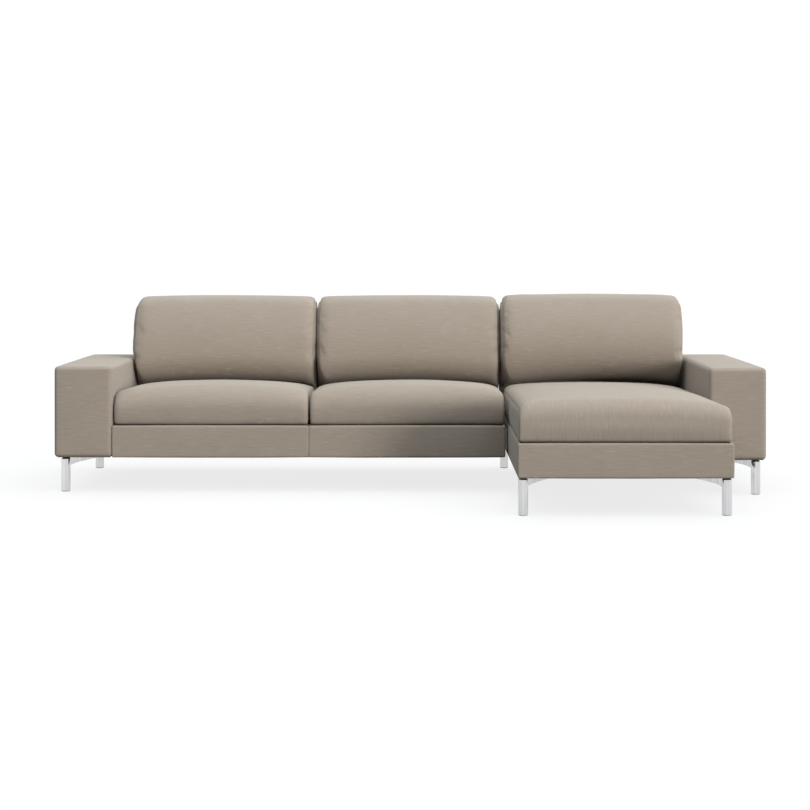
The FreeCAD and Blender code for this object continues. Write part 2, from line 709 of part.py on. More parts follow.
def connector_plate(name, centre, low_x, high_x):
    """The plate of one connector half, upright and across X."""
    low = "Sizes.underside + Sizes.hook_drop"
    y = (f"{centre} - Sizes.hook_width / 2", f"{centre} + Sizes.hook_width / 2")
    return prism(name, "YZ_Plane", box_corners(y, (low, f"{low} + Sizes.hook_height")), low_x, high_x)


tongues = []
sockets = []
tongue_face = "Places.sofa_right + Sizes.hook_plate"
socket_face = "Places.chaise_left - Sizes.hook_plate"
tongue_low = "Sizes.underside + Sizes.hook_drop + Sizes.hook_height - Sizes.tongue_height"
for end, centre in (
    ("front", "Places.sofa_front + Sizes.hook_inset"),
    ("rear", "Places.rear - Sizes.hook_inset"),
):
    tongue = connector_plate(f"{end}_tongue", centre, "Places.sofa_right", tongue_face)
    raised = sketch_on(tongue, "YZ_Plane", tongue_face)
    draw_outline(raised, trapezoid(centre, tongue_low, "0"))
    pad(tongue, raised, f"{socket_face} - ({tongue_face})")
    tongues.append(tongue)
    socket = connector_plate(f"{end}_socket", centre, tongue_face, "Places.chaise_left")
    outline = sketch_on(socket, "YZ_Plane", tongue_face)
    draw_outline(outline, trapezoid(centre, tongue_low, "Sizes.tongue_play"))
    slot = socket.newObject("PartDesign::Pocket", f"{end}_socket_slot")
    slot.Profile = outline
    slot.Reversed = True
    slot.setExpression("Length", f"{socket_face} - ({tongue_face})")
    sockets.append(socket)
group("connector_tongues", tongues)
group("connector_sockets", sockets)

# Loose cushions. The seat cushions end just in front of the back cushions' belly.
doc.recompute()
cushion("left_back_cushion", LEFT_SEAT, back_profile)
cushion("middle_back_cushion", MIDDLE_SEAT, back_profile)
chaise_back = cushion("chaise_back_cushion", CHAISE_SEAT, back_profile)
seat_rear = chaise_back.Shape.BoundBox.YMin - number("Sizes.cushion_play")
sofa_seat = seat_profile(number("Places.sofa_front"), seat_rear, number("Sizes.sofa_nose"))
chaise_seat = seat_profile(number("Places.chaise_front"), seat_rear, number("Sizes.chaise_nose"))
cushion("left_seat_cushion", LEFT_SEAT, sofa_seat)
cushion("middle_seat_cushion", MIDDLE_SEAT, sofa_seat)
cushion("chaise_seat_cushion", CHAISE_SEAT, chaise_seat)

# Test every object, then write the sub-parts
doc.recompute()
for item in doc.Objects:
    if "Invalid" in item.State or "Error" in item.State:
        raise RuntimeError(f"{item.Label} failed: {item.State}")
for name, piece in nodes.items():
    if piece.Shape.isNull() or not piece.Shape.isValid():
        raise RuntimeError(f"{name} has no valid shape")
    if not piece.Shape.Solids:
        raise RuntimeError(f"{name} has no solid")

os.makedirs("parts", exist_ok=True)
for name, piece in nodes.items():
    piece.Shape.exportStep(f"parts/{name}.step")
print(f"{len(nodes)} sub-parts written")
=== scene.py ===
"""Looks of a corner sofa: two seats with a left arm, and a chaise with a right arm.

The sofa is upholstered all over in one flat-woven cloth with a slubbed weft. Six loose cushions lie
on its decks, and seven chromed legs with a wing bracket carry it. Each class below is one
sub-assembly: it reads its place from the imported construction, builds its meshes and dresses them.
"""

import json
import logging
import math
from collections.abc import Callable, Iterator, Sequence
from contextlib import contextmanager
from dataclasses import dataclass, field, replace
from enum import Enum

import bmesh
import bpy
import numpy as np
from mathutils import Matrix, Vector, noise


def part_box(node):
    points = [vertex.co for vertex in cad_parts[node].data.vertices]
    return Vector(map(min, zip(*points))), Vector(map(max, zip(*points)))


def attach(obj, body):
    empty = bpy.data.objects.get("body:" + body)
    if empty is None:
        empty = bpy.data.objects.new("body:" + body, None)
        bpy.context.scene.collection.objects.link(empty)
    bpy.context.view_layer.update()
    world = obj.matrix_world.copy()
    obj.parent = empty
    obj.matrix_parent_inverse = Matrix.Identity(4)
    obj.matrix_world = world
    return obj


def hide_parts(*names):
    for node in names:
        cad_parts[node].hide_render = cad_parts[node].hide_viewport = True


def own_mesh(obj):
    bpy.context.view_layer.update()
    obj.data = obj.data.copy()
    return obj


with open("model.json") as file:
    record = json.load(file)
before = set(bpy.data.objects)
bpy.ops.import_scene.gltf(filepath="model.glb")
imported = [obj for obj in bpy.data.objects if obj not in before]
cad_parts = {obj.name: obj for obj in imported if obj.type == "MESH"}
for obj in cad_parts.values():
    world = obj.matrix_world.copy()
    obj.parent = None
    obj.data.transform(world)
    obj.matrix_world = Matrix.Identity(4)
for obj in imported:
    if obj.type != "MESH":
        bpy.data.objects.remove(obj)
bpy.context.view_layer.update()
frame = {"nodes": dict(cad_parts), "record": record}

LOG = logging.getLogger("corner_sofa")
MM = 0.001
NEAR = 0.1 * MM
SOFA_BODY = "sofa"

Piece = bpy.types.Object
Tree = bpy.types.NodeTree
Socket = bpy.types.NodeSocket
Point = tuple[float, float, float]
Pair = tuple[float, float]
CornerTest = Callable[[bmesh.types.BMVert], bool]


class Thread(Enum):
    """Which way the cloth's slubbed weft runs on a piece's top and front."""

    SIDEWAYS = "from arm to arm"
    LENGTHWAYS = "from front to rear, and down the front"


class Axis(Enum):
    """An axis of the sofa's own frame."""

    X = 0
    Y = 1
    Z = 2


# Nodes and colours


def linear(shade: str) -> tuple[float, float, float, float]:
    """Turn an sRGB hex colour into Blender's linear one.

    Args:
        shade: six hex digits, such as "978B7D".

    Returns:
        Red, green, blue and an alpha of one.
    """
    channels = []
    for start in (0, 2, 4):
        value = int(shade[start:start + 2], 16) / 255
        channels.append(value / 12.92 if value <= 0.04045 else ((value + 0.055) / 1.055) ** 2.4)
    return (channels[0], channels[1], channels[2], 1.0)


def add_node(tree: Tree, kind: str, inputs: dict | None = None, **settings) -> bpy.types.Node:
    """Add one node, with its settings, its constants and its links.

    Args:
        tree: the material's or the world's node tree.
        kind: the node's type, without its ShaderNode prefix.
        inputs: socket name or number to a constant, or to the output socket that feeds it.
        **settings: the node's own properties.

    Returns:
        The new node.
    """
    node = tree.nodes.new(f"ShaderNode{kind}")
    for name, value in settings.items():
        setattr(node, name, value)
    for socket, value in (inputs or {}).items():
        if isinstance(value, Socket):
            tree.links.new(value, node.inputs[socket])
        else:
            node.inputs[socket].default_value = value
    return node


def new_material(name: str) -> tuple[bpy.types.Material, Tree]:
    """Make an empty node material.

    Returns:
        The material and its tree.
    """
    material = bpy.data.materials.new(name)
    material.use_nodes = True
    material.node_tree.nodes.clear()
    return material, material.node_tree


def finish_surface(tree: Tree, inputs: dict) -> None:
    """End a material in a Principled surface with these inputs."""
    surface = add_node(tree, "BsdfPrincipled", inputs)
    add_node(tree, "OutputMaterial", {"Surface": surface.outputs["BSDF"]})


def math_of(tree: Tree, operation: str, *values) -> Socket:
    """Give the output of one Math node on these values."""
    return add_node(tree, "Math", dict(enumerate(values)), operation=operation).outputs[0]


def ranged(tree: Tree, value: Socket, low: float, high: float, **settings) -> Socket:
    """Give a value that grows from none at low to one at high."""
    return add_node(tree, "MapRange", {0: value, 1: low, 2: high}, **settings).outputs[0]


def mixed(tree: Tree, share: Socket | float, first: Socket | tuple, second: Socket | tuple) -> Socket:
    """Give the colour that lies this share of the way from the first one to the second."""
    return add_node(tree, "Mix", {0: share, 6: first, 7: second}, data_type="RGBA").outputs[2]


def seen_by(tree: Tree, *rays: str) -> Socket:
    """Give one for rays of these kinds, such as "Camera", and none for all others."""
    path = add_node(tree, "LightPath").outputs
    seen = path[f"Is {rays[0]} Ray"]
    for ray in rays[1:]:
        seen = math_of(tree, "MAXIMUM", seen, path[f"Is {ray} Ray"])
    return seen


def noise_of(tree: Tree, place: Socket, sizes_mm: Point, detail: float) -> Socket:
    """Give noise whose grains have these sizes along the three axes, in millimetres."""
    scale = tuple(1 / (size * MM) for size in sizes_mm)
    scaled = add_node(tree, "VectorMath", {0: place, 1: scale}, operation="MULTIPLY").outputs[0]
    return add_node(tree, "TexNoise", {"Vector": scaled, "Scale": 1.0, "Detail": detail}).outputs["Fac"]


# Finishes


@dataclass(frozen=True)
class SlubbedWeave:
    """Flat-woven polyester cloth: thick and thin weft yarns give short pale streaks.

    The yarns of the real cloth are about 1 mm thick, too fine for the picture, so the weave is
    drawn with a 5 mm repeat, and the slubs are as long as they look. The pairs in millimetres are
    sizes along the weft and across it, and the shares say how much each layer counts.
    """

    name: str
    ground: str = "998F85"
    slub: str = "C2B9AD"
    hollow: str = "706559"
    thread: Thread = Thread.SIDEWAYS
    side_facing: float = 0.7
    repeat_mm: float = 5.0
    rows_mm: Pair = (90.0, 5.0)
    grain_mm: Pair = (7.0, 4.0)
    clouds_mm: Pair = (260.0, 200.0)
    slubs_mm: Pair = (48.0, 4.2)
    weave_share: float = 0.10
    grain_share: float = 0.5
    clouds_share: float = 0.35
    tone_range: Pair = (0.55, 1.30)
    streak_range: Pair = (0.58, 0.80)
    thin_range: Pair = (0.42, 0.20)
    plain_share: float = 0.72
    streak_share: float = 0.26
    thin_share: float = 0.22
    streak_relief: float = 0.6
    relief_strength: float = 0.35
    relief_mm: float = 0.6
    roughness: float = 0.92
    sheen: float = 0.16
    sheen_roughness: float = 0.45

    def along_and_across(self, tree: Tree) -> tuple[Socket, Socket]:
        """Places on the cloth, in metres: along the weft and across it.

        The weft follows the faces: over a front edge from the front to the top, and level on the
        faces that look to a side.
        """
        place = add_node(tree, "TexCoord")
        x, y, z = add_node(tree, "SeparateXYZ", {0: place.outputs["Object"]}).outputs
        facing = add_node(tree, "SeparateXYZ", {0: place.outputs["Normal"]}).outputs["X"]
        on_side = math_of(tree, "GREATER_THAN", math_of(tree, "ABSOLUTE", facing), self.side_facing)
        over = math_of(tree, "ADD", y, z)
        along, across = (x, over) if self.thread is Thread.SIDEWAYS else (over, x)
        return (
            add_node(tree, "Mix", {0: on_side, 2: along, 3: y}).outputs[0],
            add_node(tree, "Mix", {0: on_side, 2: across, 3: z}).outputs[0],
        )

    def build(self) -> bpy.types.Material:
        """Make the cloth."""
        material, tree = new_material(self.name)
        along, across = self.along_and_across(tree)
        flat = add_node(tree, "CombineXYZ", {0: along, 1: across}).outputs[0]
        rows, grain, clouds, slubs = (
            noise_of(tree, flat, (*size, 1.0), detail) for size, detail in (
                (self.rows_mm, 1.0), (self.grain_mm, 2.0), (self.clouds_mm, 1.0), (self.slubs_mm, 1.0),
            )
        )
        turn = 2 * math.pi / (self.repeat_mm * MM)
        warp, weft = (
            math_of(tree, "SINE", math_of(tree, "MULTIPLY", way, turn)) for way in (along, across)
        )
        weave = math_of(tree, "MULTIPLY", warp, weft)
        height = rows
        for layer, share in (
            (weave, self.weave_share), (grain, self.grain_share), (clouds, self.clouds_share),
        ):
            height = math_of(tree, "MULTIPLY_ADD", layer, share, height)
        streak, thin = (
            ranged(tree, slubs, *ends, interpolation_type="SMOOTHSTEP")
            for ends in (self.streak_range, self.thin_range)
        )
        ground, slub, hollow = (linear(shade) for shade in (self.ground, self.slub, self.hollow))
        colour = mixed(tree, ranged(tree, height, *self.tone_range), hollow, ground)
        # The plain ground makes up most of the colour, and the layers only shade it
        colour = mixed(tree, self.plain_share, colour, ground)
        colour = mixed(tree, math_of(tree, "MULTIPLY", streak, self.streak_share), colour, slub)
        colour = mixed(tree, math_of(tree, "MULTIPLY", thin, self.thin_share), colour, hollow)
        relief = math_of(tree, "ADD", height, math_of(tree, "MULTIPLY", streak, self.streak_relief))
        bump = add_node(tree, "Bump", {
            "Height": relief, "Strength": self.relief_strength, "Distance": self.relief_mm * MM,
        })
        finish_surface(tree, {
            "Base Color": colour,
            "Roughness": self.roughness,
            "Specular IOR Level": 0.0,
            "Sheen Weight": self.sheen,
            "Sheen Roughness": self.sheen_roughness,
            "Normal": bump.outputs[0],
        })
        return material


@dataclass(frozen=True)
class Grained:
    """A dull solid whose grain is drawn out along one axis: timber, board, foam or cloth.

    The three grain sizes are along X, Y and Z. The tone runs from dark to pale over tone_range of
    the grain, and the roughness goes up and down by its spread.
    """

    name: str
    pale: str
    dark: str
    grain_mm: Point
    roughness: float = 0.8
    relief_mm: float = 0.1
    metallic: float = 0.0
    detail: float = 3.0
    tone_range: Pair = (0.3, 0.7)
    spread: float = 0.1
    relief_strength: float = 0.5

    def build(self) -> bpy.types.Material:
        """Make the material."""
        material, tree = new_material(self.name)
        grain = noise_of(tree, add_node(tree, "TexCoord").outputs["Object"], self.grain_mm, self.detail)
        tone = ranged(tree, grain, *self.tone_range)
        low, high = self.roughness * (1 - self.spread), min(1.0, self.roughness * (1 + self.spread))
        bump = add_node(tree, "Bump", {
            "Height": grain, "Strength": self.relief_strength, "Distance": self.relief_mm * MM,
        })
        finish_surface(tree, {
            "Base Color": mixed(tree, tone, linear(self.dark), linear(self.pale)),
            "Roughness": add_node(tree, "MapRange", {0: grain, 3: low, 4: high}).outputs[0],
            "Metallic": self.metallic,
            "Normal": bump.outputs[0],
        })
        return material


@dataclass(frozen=True)
class PolishedChrome:
    """Chromium plate on steel tube, buffed along its length: bright, with faint upright stripes of painted
    reflection.

    Fine marks take the roughness from its least to its most, and broad stripes of a darker tint are painted
    reflection, standing in for the studio mirrored in the tube.
    """

    name: str = "polished_chrome"
    tint: str = "DCDCDD"
    # Painted reflection: the darker tint of the broad upright stripes, then their size and their spread
    painted_reflection_shade: str = "CDCDCF"
    least_rough: float = 0.07
    most_rough: float = 0.14
    marks_mm: Point = (2.0, 2.0, 60.0)
    painted_reflection_mm: Point = (11.0, 11.0, 900.0)
    painted_reflection_range: Pair = (0.35, 0.65)

    def build(self) -> bpy.types.Material:
        """Make the plate."""
        material, tree = new_material(self.name)
        place = add_node(tree, "TexCoord").outputs["Object"]
        marks = noise_of(tree, place, self.marks_mm, 2.0)
        # Painted reflection: broad upright stripes darken the chrome's tint, standing in for the studio
        # mirrored in the tube
        painted_reflection = noise_of(tree, place, self.painted_reflection_mm, 0.0)
        rough = add_node(tree, "MapRange", {0: marks, 3: self.least_rough, 4: self.most_rough})
        share = ranged(tree, painted_reflection, *self.painted_reflection_range)
        finish_surface(tree, {
            "Base Color": mixed(tree, share, linear(self.painted_reflection_shade), linear(self.tint)),
            "Metallic": 1.0,
            "Roughness": rough.outputs[0],
        })
        return material


class Finishes:
    """Every finish of the sofa, made once and looked up by name."""

    def __init__(self) -> None:
        """Make the materials."""
        makers = [
            SlubbedWeave("woven_polyester"),
            SlubbedWeave("woven_polyester_lengthways", thread=Thread.LENGTHWAYS),
            PolishedChrome(),
            # Needle-punched polypropylene cloth: black and fuzzy
            Grained("spunbonded_polypropylene", "1B1A19", "0D0D0D", (1.5, 1.5, 1.5), 0.95, 0.2),
            # Plain calico over the deck's foam: dull, close and brownish
            Grained("woven_deck_lining", "4A4239", "393229", (1.2, 1.2, 1.2), 0.95, 0.2),
            # Open-cell polyurethane foam: cream, with fine pores
            Grained("polyurethane_foam", "E9E2C4", "D5CBA4", (2.0, 2.0, 2.0), 0.95, 0.4),
            # Elastic jute and rubber webbing: brown, ribbed along the strap
            *(Grained(f"elastic_webbing_{way}", "6A5238", "4A3826", grain, 0.85, 0.3) for way, grain in (
                ("lengthways", (1.6, 22.0, 2.0)), ("sideways", (22.0, 1.6, 2.0)),
            )),
            # Planed softwood: pale, with grain drawn out along the board
            *(Grained(f"planed_pine_{way}", "D8B483", "B98C58", grain, 0.6, 0.15) for way, grain in (
                ("sideways", (120.0, 5.0, 5.0)), ("lengthways", (5.0, 120.0, 5.0)),
                ("upright", (5.0, 5.0, 120.0)),
            )),
            # Poplar plywood, sanded: pale, with broad soft figure
            Grained("poplar_plywood", "D2B48A", "B6925F", (60.0, 9.0, 60.0), 0.65, 0.1),
            # Pressed fibre sheet: brown and close-grained
            Grained("hardboard", "7B5637", "644327", (2.5, 2.5, 2.5), 0.6, 0.1),
            # Moulded ABS collar: black, with a slight sheen
            Grained("moulded_black_abs", "131211", "0A0A0A", (0.8, 0.8, 0.8), 0.45, 0.03),
            # Nylon glide: grey and worn dull
            Grained("nylon_glide", "A9A9A7", "969694", (0.8, 0.8, 0.8), 0.6, 0.05),
            # Zinc-plated mild steel: grey, faintly mottled
            Grained("zinc_plated_steel", "B9BBBC", "9A9DA0", (6.0, 6.0, 6.0), 0.35, 0.02, 1.0),
        ]
        self.by_name = {maker.name: maker.build() for maker in makers}

    def __getitem__(self, name: str) -> bpy.types.Material:
        """The material of that name."""
        return self.by_name[name]


# Working on meshes


def select_only(*pieces: Piece) -> None:
    """Select these pieces and nothing else, with the first one active."""
    bpy.ops.object.select_all(action="DESELECT")
    for piece in pieces:
        piece.select_set(True)
        bpy.context.view_layer.objects.active = pieces[0]


@contextmanager
def editing(piece: Piece) -> Iterator[bmesh.types.BMesh]:
    """Edit one piece's mesh, with nothing selected at the start.

    Yields:
        The mesh as edit mode holds it.
    """
    select_only(piece)
    bpy.ops.object.mode_set(mode="EDIT")
    bpy.ops.mesh.select_all(action="DESELECT")
    try:
        yield bmesh.from_edit_mesh(piece.data)
    finally:
        bpy.ops.object.mode_set(mode="OBJECT")


def pick(piece: Piece, kind: str, test: CornerTest) -> None:
    """Select the parts of a piece in edit mode whose corners all pass a test.

    Args:
        piece: the piece in edit mode.
        kind: "faces", "edges" or "verts".
        test: says of one vertex whether it belongs.
    """
    mesh = bmesh.from_edit_mesh(piece.data)
    bpy.ops.mesh.select_all(action="DESELECT")
    for part in getattr(mesh, kind):
        corners = [part] if kind == "verts" else part.verts
        if all(test(corner) for corner in corners):
            part.select_set(True)
    mesh.select_flush_mode()
    bmesh.update_edit_mesh(piece.data)


def ease(piece: Piece, test: CornerTest, offset: float, segments: int) -> None:
    """Round the edges of a piece in edit mode whose corners all pass a test."""
    pick(piece, "edges", test)
    bpy.ops.mesh.bevel(offset=offset, segments=segments)


def sink(piece: Piece, test: CornerTest, rim: float, depth: float) -> None:
    """Push the faces of a piece in edit mode whose corners all pass a test upwards, inside a rim."""
    pick(piece, "faces", test)
    bpy.ops.mesh.inset(thickness=rim)
    bpy.ops.mesh.extrude_region_move(TRANSFORM_OT_translate={"value": (0, 0, depth)})


def add_object(name: str, data: bpy.types.ID) -> Piece:
    """Put a mesh, a lamp or a camera into the scene under a name."""
    thing = bpy.data.objects.new(name, data)
    bpy.context.scene.collection.objects.link(thing)
    return thing


def new_primitive(add: Callable, name: str, place: Vector, stretch: Point = (1, 1, 1), **sizes) -> Piece:
    """Add one of Blender's own primitives at its place, with its place in its mesh.

    Args:
        add: the operator that makes it.
        name: the piece's name.
        place: its centre.
        stretch: how much longer it becomes along X, Y and Z.
        **sizes: the operator's own settings.

    Returns:
        The piece, at the origin, unturned and unscaled.
    """
    select_only()
    add(location=place, **sizes)
    piece = bpy.context.object
    piece.name = name
    piece.data.name = name
    piece.scale = stretch
    bpy.ops.object.transform_apply(location=True, rotation=True, scale=True)
    return piece


def new_block(name: str, low: Vector, high: Vector) -> Piece:
    """A cube stretched between two corners, to be shaped further."""
    return new_primitive(bpy.ops.mesh.primitive_cube_add, name, (low + high) / 2, tuple(high - low), size=1)


def slice_across(piece: Piece, axis: Axis, levels: Sequence[float]) -> None:
    """Cut an edge loop right round a piece at each level along an axis."""
    direction = [0.0, 0.0, 0.0]
    direction[axis.value] = 1.0
    with editing(piece):
        for level in levels:
            bpy.ops.mesh.select_all(action="SELECT")
            bpy.ops.mesh.bisect(plane_co=[level * part for part in direction], plane_no=direction)


def apply_modifier(piece: Piece, kind: str, **settings) -> None:
    """Give a piece one modifier and apply it."""
    select_only(piece)
    modifier = piece.modifiers.new(kind.lower(), kind)
    for name, value in settings.items():
        setattr(modifier, name, value)
    bpy.ops.object.modifier_apply(modifier=modifier.name)


def shade_smooth(piece: Piece, angle: float | None = None) -> None:
    """Shade a piece smooth, all over or up to an angle in degrees."""
    select_only(piece)
    if angle is None:
        bpy.ops.object.shade_smooth()
    else:
        bpy.ops.object.shade_smooth_by_angle(angle=math.radians(angle))


def rows_of(vectors: bpy.types.bpy_prop_collection, name: str) -> np.ndarray:
    """The vectors of this name in one of Blender's collections, one row each."""
    values = np.empty(len(vectors) * 3, np.float32)
    vectors.foreach_get(name, values)
    return values.reshape(-1, 3).astype(float)


def vertex_places(piece: Piece) -> np.ndarray:
    """A mesh's vertices, one row each."""
    return rows_of(piece.data.vertices, "co")


def vertex_normals(piece: Piece) -> np.ndarray:
    """A mesh's vertex normals, one row each."""
    return rows_of(piece.data.vertex_normals, "vector")


def put_vertices(piece: Piece, places: np.ndarray) -> None:
    """Move a mesh's vertices to these rows."""
    piece.data.vertices.foreach_set("co", places.ravel())
    piece.data.update()


def uneven(places: np.ndarray, size: float, seed: float) -> np.ndarray:
    """Smooth noise between about -1 and 1 at each place, with bumps of about this size in metres."""
    shift = Vector((seed, 2 * seed, 3 * seed))
    return np.array([noise.noise(Vector(place) / size + shift) for place in places])


def paint(piece: Piece, material: bpy.types.Material) -> None:
    """Make a piece all of one material."""
    piece.data.materials.clear()
    piece.data.materials.append(material)


def dress(piece: Piece, material: bpy.types.Material, body: str, slot: str, *nodes: str) -> None:
    """Give a new piece its material and its body, and hide the nodes that it stands for.

    Args:
        piece: the finished piece.
        material: what it is made of.
        body: the body that it rides on.
        slot: the record's material slot; not used.
        *nodes: the nodes that it replaces.
    """
    paint(piece, material)
    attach(piece, body)
    if nodes:
        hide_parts(*nodes)
    LOG.info("%s: %d faces", piece.name, len(piece.data.polygons))


# Upholstered blocks


@dataclass
class PaddedBlock:
    """Cloth pulled tight over a padded block: soft edges, slightly full faces and sewn seams."""

    name: str
    low: Vector
    high: Vector
    radius: float = 16 * MM
    grid: float = 28 * MM
    support: float = 9 * MM
    fullness: float = 2.5 * MM
    ripple: float = 0.5 * MM
    ripple_size: float = 0.14
    seed: float = 1.0
    seams: Sequence[tuple[Axis, float]] = ()
    seam_depth: float = 1.6 * MM
    seam_half_width: float = 1.2 * MM
    segments: int = 4
    open_below: float = 0.05

    def levels(self, axis: Axis) -> list[float]:
        """Where the grid's loops lie along an axis: one just inside each rounding, the rest even."""
        low = self.low[axis.value] + self.radius + self.support
        high = self.high[axis.value] - self.radius - self.support
        if high <= low:
            return []
        count = max(1, round((high - low) / self.grid))
        return [low + (high - low) * i / count for i in range(count + 1)]

    def shape(self) -> Piece:
        """Round the block, cut its grid and its seams, and fill its faces out."""
        piece = new_block(self.name, self.low, self.high)
        with editing(piece):
            bpy.ops.mesh.select_all(action="SELECT")
            bpy.ops.mesh.bevel(offset=self.radius, segments=self.segments, affect="EDGES")
        for axis in Axis:
            slice_across(piece, axis, self.levels(axis))
        for axis, level in self.seams:
            slice_across(piece, axis, [level - self.seam_half_width, level, level + self.seam_half_width])
        self.fill_out(piece)
        return piece

    def fill_out(self, piece: Piece) -> None:
        """Push each face out in its middle, ripple the cloth a little and press the seams in."""
        places = vertex_places(piece)
        normals = vertex_normals(piece)
        low, high = np.array(self.low), np.array(self.high)
        share = np.clip((places - low) / (high - low), 0, 1)
        rise = 1 - np.abs(2 * share - 1) ** 3
        moved = places.copy()
        for axis in range(3):
            others = [other for other in range(3) if other != axis]
            full = self.fullness * rise[:, others[0]] * rise[:, others[1]]
            moved[:, axis] += full * normals[:, axis] * np.abs(normals[:, axis])
        moved += normals * (self.ripple * uneven(places, self.ripple_size, self.seed))[:, None]
        for axis, level in self.seams:
            on_seam = np.abs(places[:, axis.value] - level) < 0.01 * MM
            moved[on_seam] -= normals[on_seam] * self.seam_depth
        put_vertices(piece, moved)

    def build(self) -> Piece:
        """Make the closed block, smooth."""
        piece = self.shape()
        apply_modifier(piece, "SUBSURF", levels=1, render_levels=1)
        shade_smooth(piece)
        return piece

    def build_shell(self, wall: float) -> Piece:
        """Make the block as a cover that is open underneath.

        Args:
            wall: how thick the cloth and its wadding are.

        Returns:
            The cover, whose faces lower than the share open_below of its rounding are gone.
        """
        piece = self.shape()
        floor = self.low.z + self.radius * self.open_below
        with editing(piece):
            pick(piece, "faces", lambda corner: corner.co.z < floor)
            bpy.ops.mesh.delete(type="FACE")
        apply_modifier(piece, "SUBSURF", levels=1, render_levels=1)
        apply_modifier(piece, "SOLIDIFY", thickness=wall, offset=-1)
        shade_smooth(piece)
        return piece


def rounding_seam(face: float, radius: float, inwards: int) -> float:
    """The level of a seam in the middle of a rounded edge beside a face."""
    return face + inwards * radius * (1 - math.sqrt(0.5))


def upholster(block: PaddedBlock, node: str, material: bpy.types.Material, slot: str,
              wall: float = 0.0) -> None:
    """Build one block in its node's place and dress it.

    Args:
        block: its shape.
        node: the node that it stands for.
        material: what it is made of.
        slot: the record's material slot.
        wall: how thick it is if it is open underneath, and none if it is closed.
    """
    piece = block.build_shell(wall) if wall else block.build()
    dress(piece, material, SOFA_BODY, slot, node)


@dataclass
class BoxArm:
    """One arm: a sewn cover over foam and a plywood box.

    Its wadding may fill the cover outward, beyond the arm's own left face. The seams run in the
    rounding beside the front face (1) and the rear one (-1).
    """

    part: str
    seed: float
    outward: float = 0.0
    fill: float = 0.95
    fullness: float = 3 * MM
    grid: float = 28 * MM
    seams: Sequence[int] = (1, -1)
    radius: float = 16 * MM
    wall: float = 8 * MM
    ripple: float = 0.7 * MM
    foam_grid: float = 90 * MM
    foam_radius: float = 6 * MM
    foam_wall: float = 7 * MM
    foam_ripple: float = 0.3 * MM

    def build(self, finishes: Finishes) -> None:
        """Make the cover and the foam under it."""
        node = f"{self.part}_cover"
        low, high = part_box(node)
        low.x -= self.outward
        faces = {1: low.y, -1: high.y}
        cover = PaddedBlock(
            f"{self.part}_upholstery", low, high, self.radius, grid=self.grid, fullness=self.fullness,
            ripple=self.ripple, seed=self.seed,
            seams=[(Axis.Y, rounding_seam(faces[side], self.radius, side)) for side in self.seams],
        )
        upholster(cover, node, finishes["woven_polyester"], "cover_fabric", self.wall)
        node = f"{self.part}_padding"
        foam = PaddedBlock(
            f"{self.part}_foam", *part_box(node), self.foam_radius, grid=self.foam_grid, fullness=0,
            ripple=self.foam_ripple, seed=self.seed,
        )
        upholster(foam, node, finishes["polyurethane_foam"], "firm_foam", self.foam_wall)


@dataclass
class BackRest(BoxArm):
    """The padded back frame of one module, which the loose back cushions lean on."""

    fill: float = 0.9
    fullness: float = 2 * MM
    grid: float = 40 * MM
    seams: Sequence[int] = (-1,)
    foam_grid: float = 120 * MM


@dataclass
class BasePanels:
    """The padded panels round the two bases, and the lined foam decks between them."""

    panels: Sequence[str] = (
        "left_front_panel", "middle_front_panel", "sofa_end_panel", "sofa_rear_panel",
        "chaise_front_panel", "chaise_left_panel", "chaise_right_panel", "chaise_rear_panel",
    )
    radius: float = 6 * MM
    shortfall: float = 3 * MM

    def build(self, finishes: Finishes) -> None:
        """Make every panel and both decks."""
        for number, node in enumerate(self.panels, start=1):
            low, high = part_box(node)
            high.z -= self.shortfall
            panel = PaddedBlock(
                node.replace("_panel", "_upholstery"), low, high, self.radius, grid=30 * MM,
                support=5 * MM, fullness=1.5 * MM, ripple=0.5 * MM, seed=20 + number,
            )
            upholster(panel, node, finishes["woven_polyester"], "panel_fabric")
        for number, module in enumerate(("sofa", "chaise")):
            node = f"{module}_deck_pad"
            deck = PaddedBlock(
                f"{module}_deck", *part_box(node), 5 * MM, grid=60 * MM, support=4 * MM, fullness=0,
                ripple=0.25 * MM, seed=30 + number,
            )
            upholster(deck, node, finishes["woven_deck_lining"], "deck_cloth")


# Loose cushions


# How finely a cushion's section is drawn: steps in half a corner, and points in a side
ARC_STEPS = 8
SIDE_POINTS = 121

# How air fills the sewn cases: Blender's cloth settings, and for how many frames
CLOTH_FRAMES = 20
CLOTH = {
    "quality": 4,
    "mass": 0.3,
    "tension_stiffness": 12,
    "compression_stiffness": 12,
    "shear_stiffness": 6,
    "bending_stiffness": 0.4,
    "use_pressure": True,
    "uniform_pressure_force": 4,
}


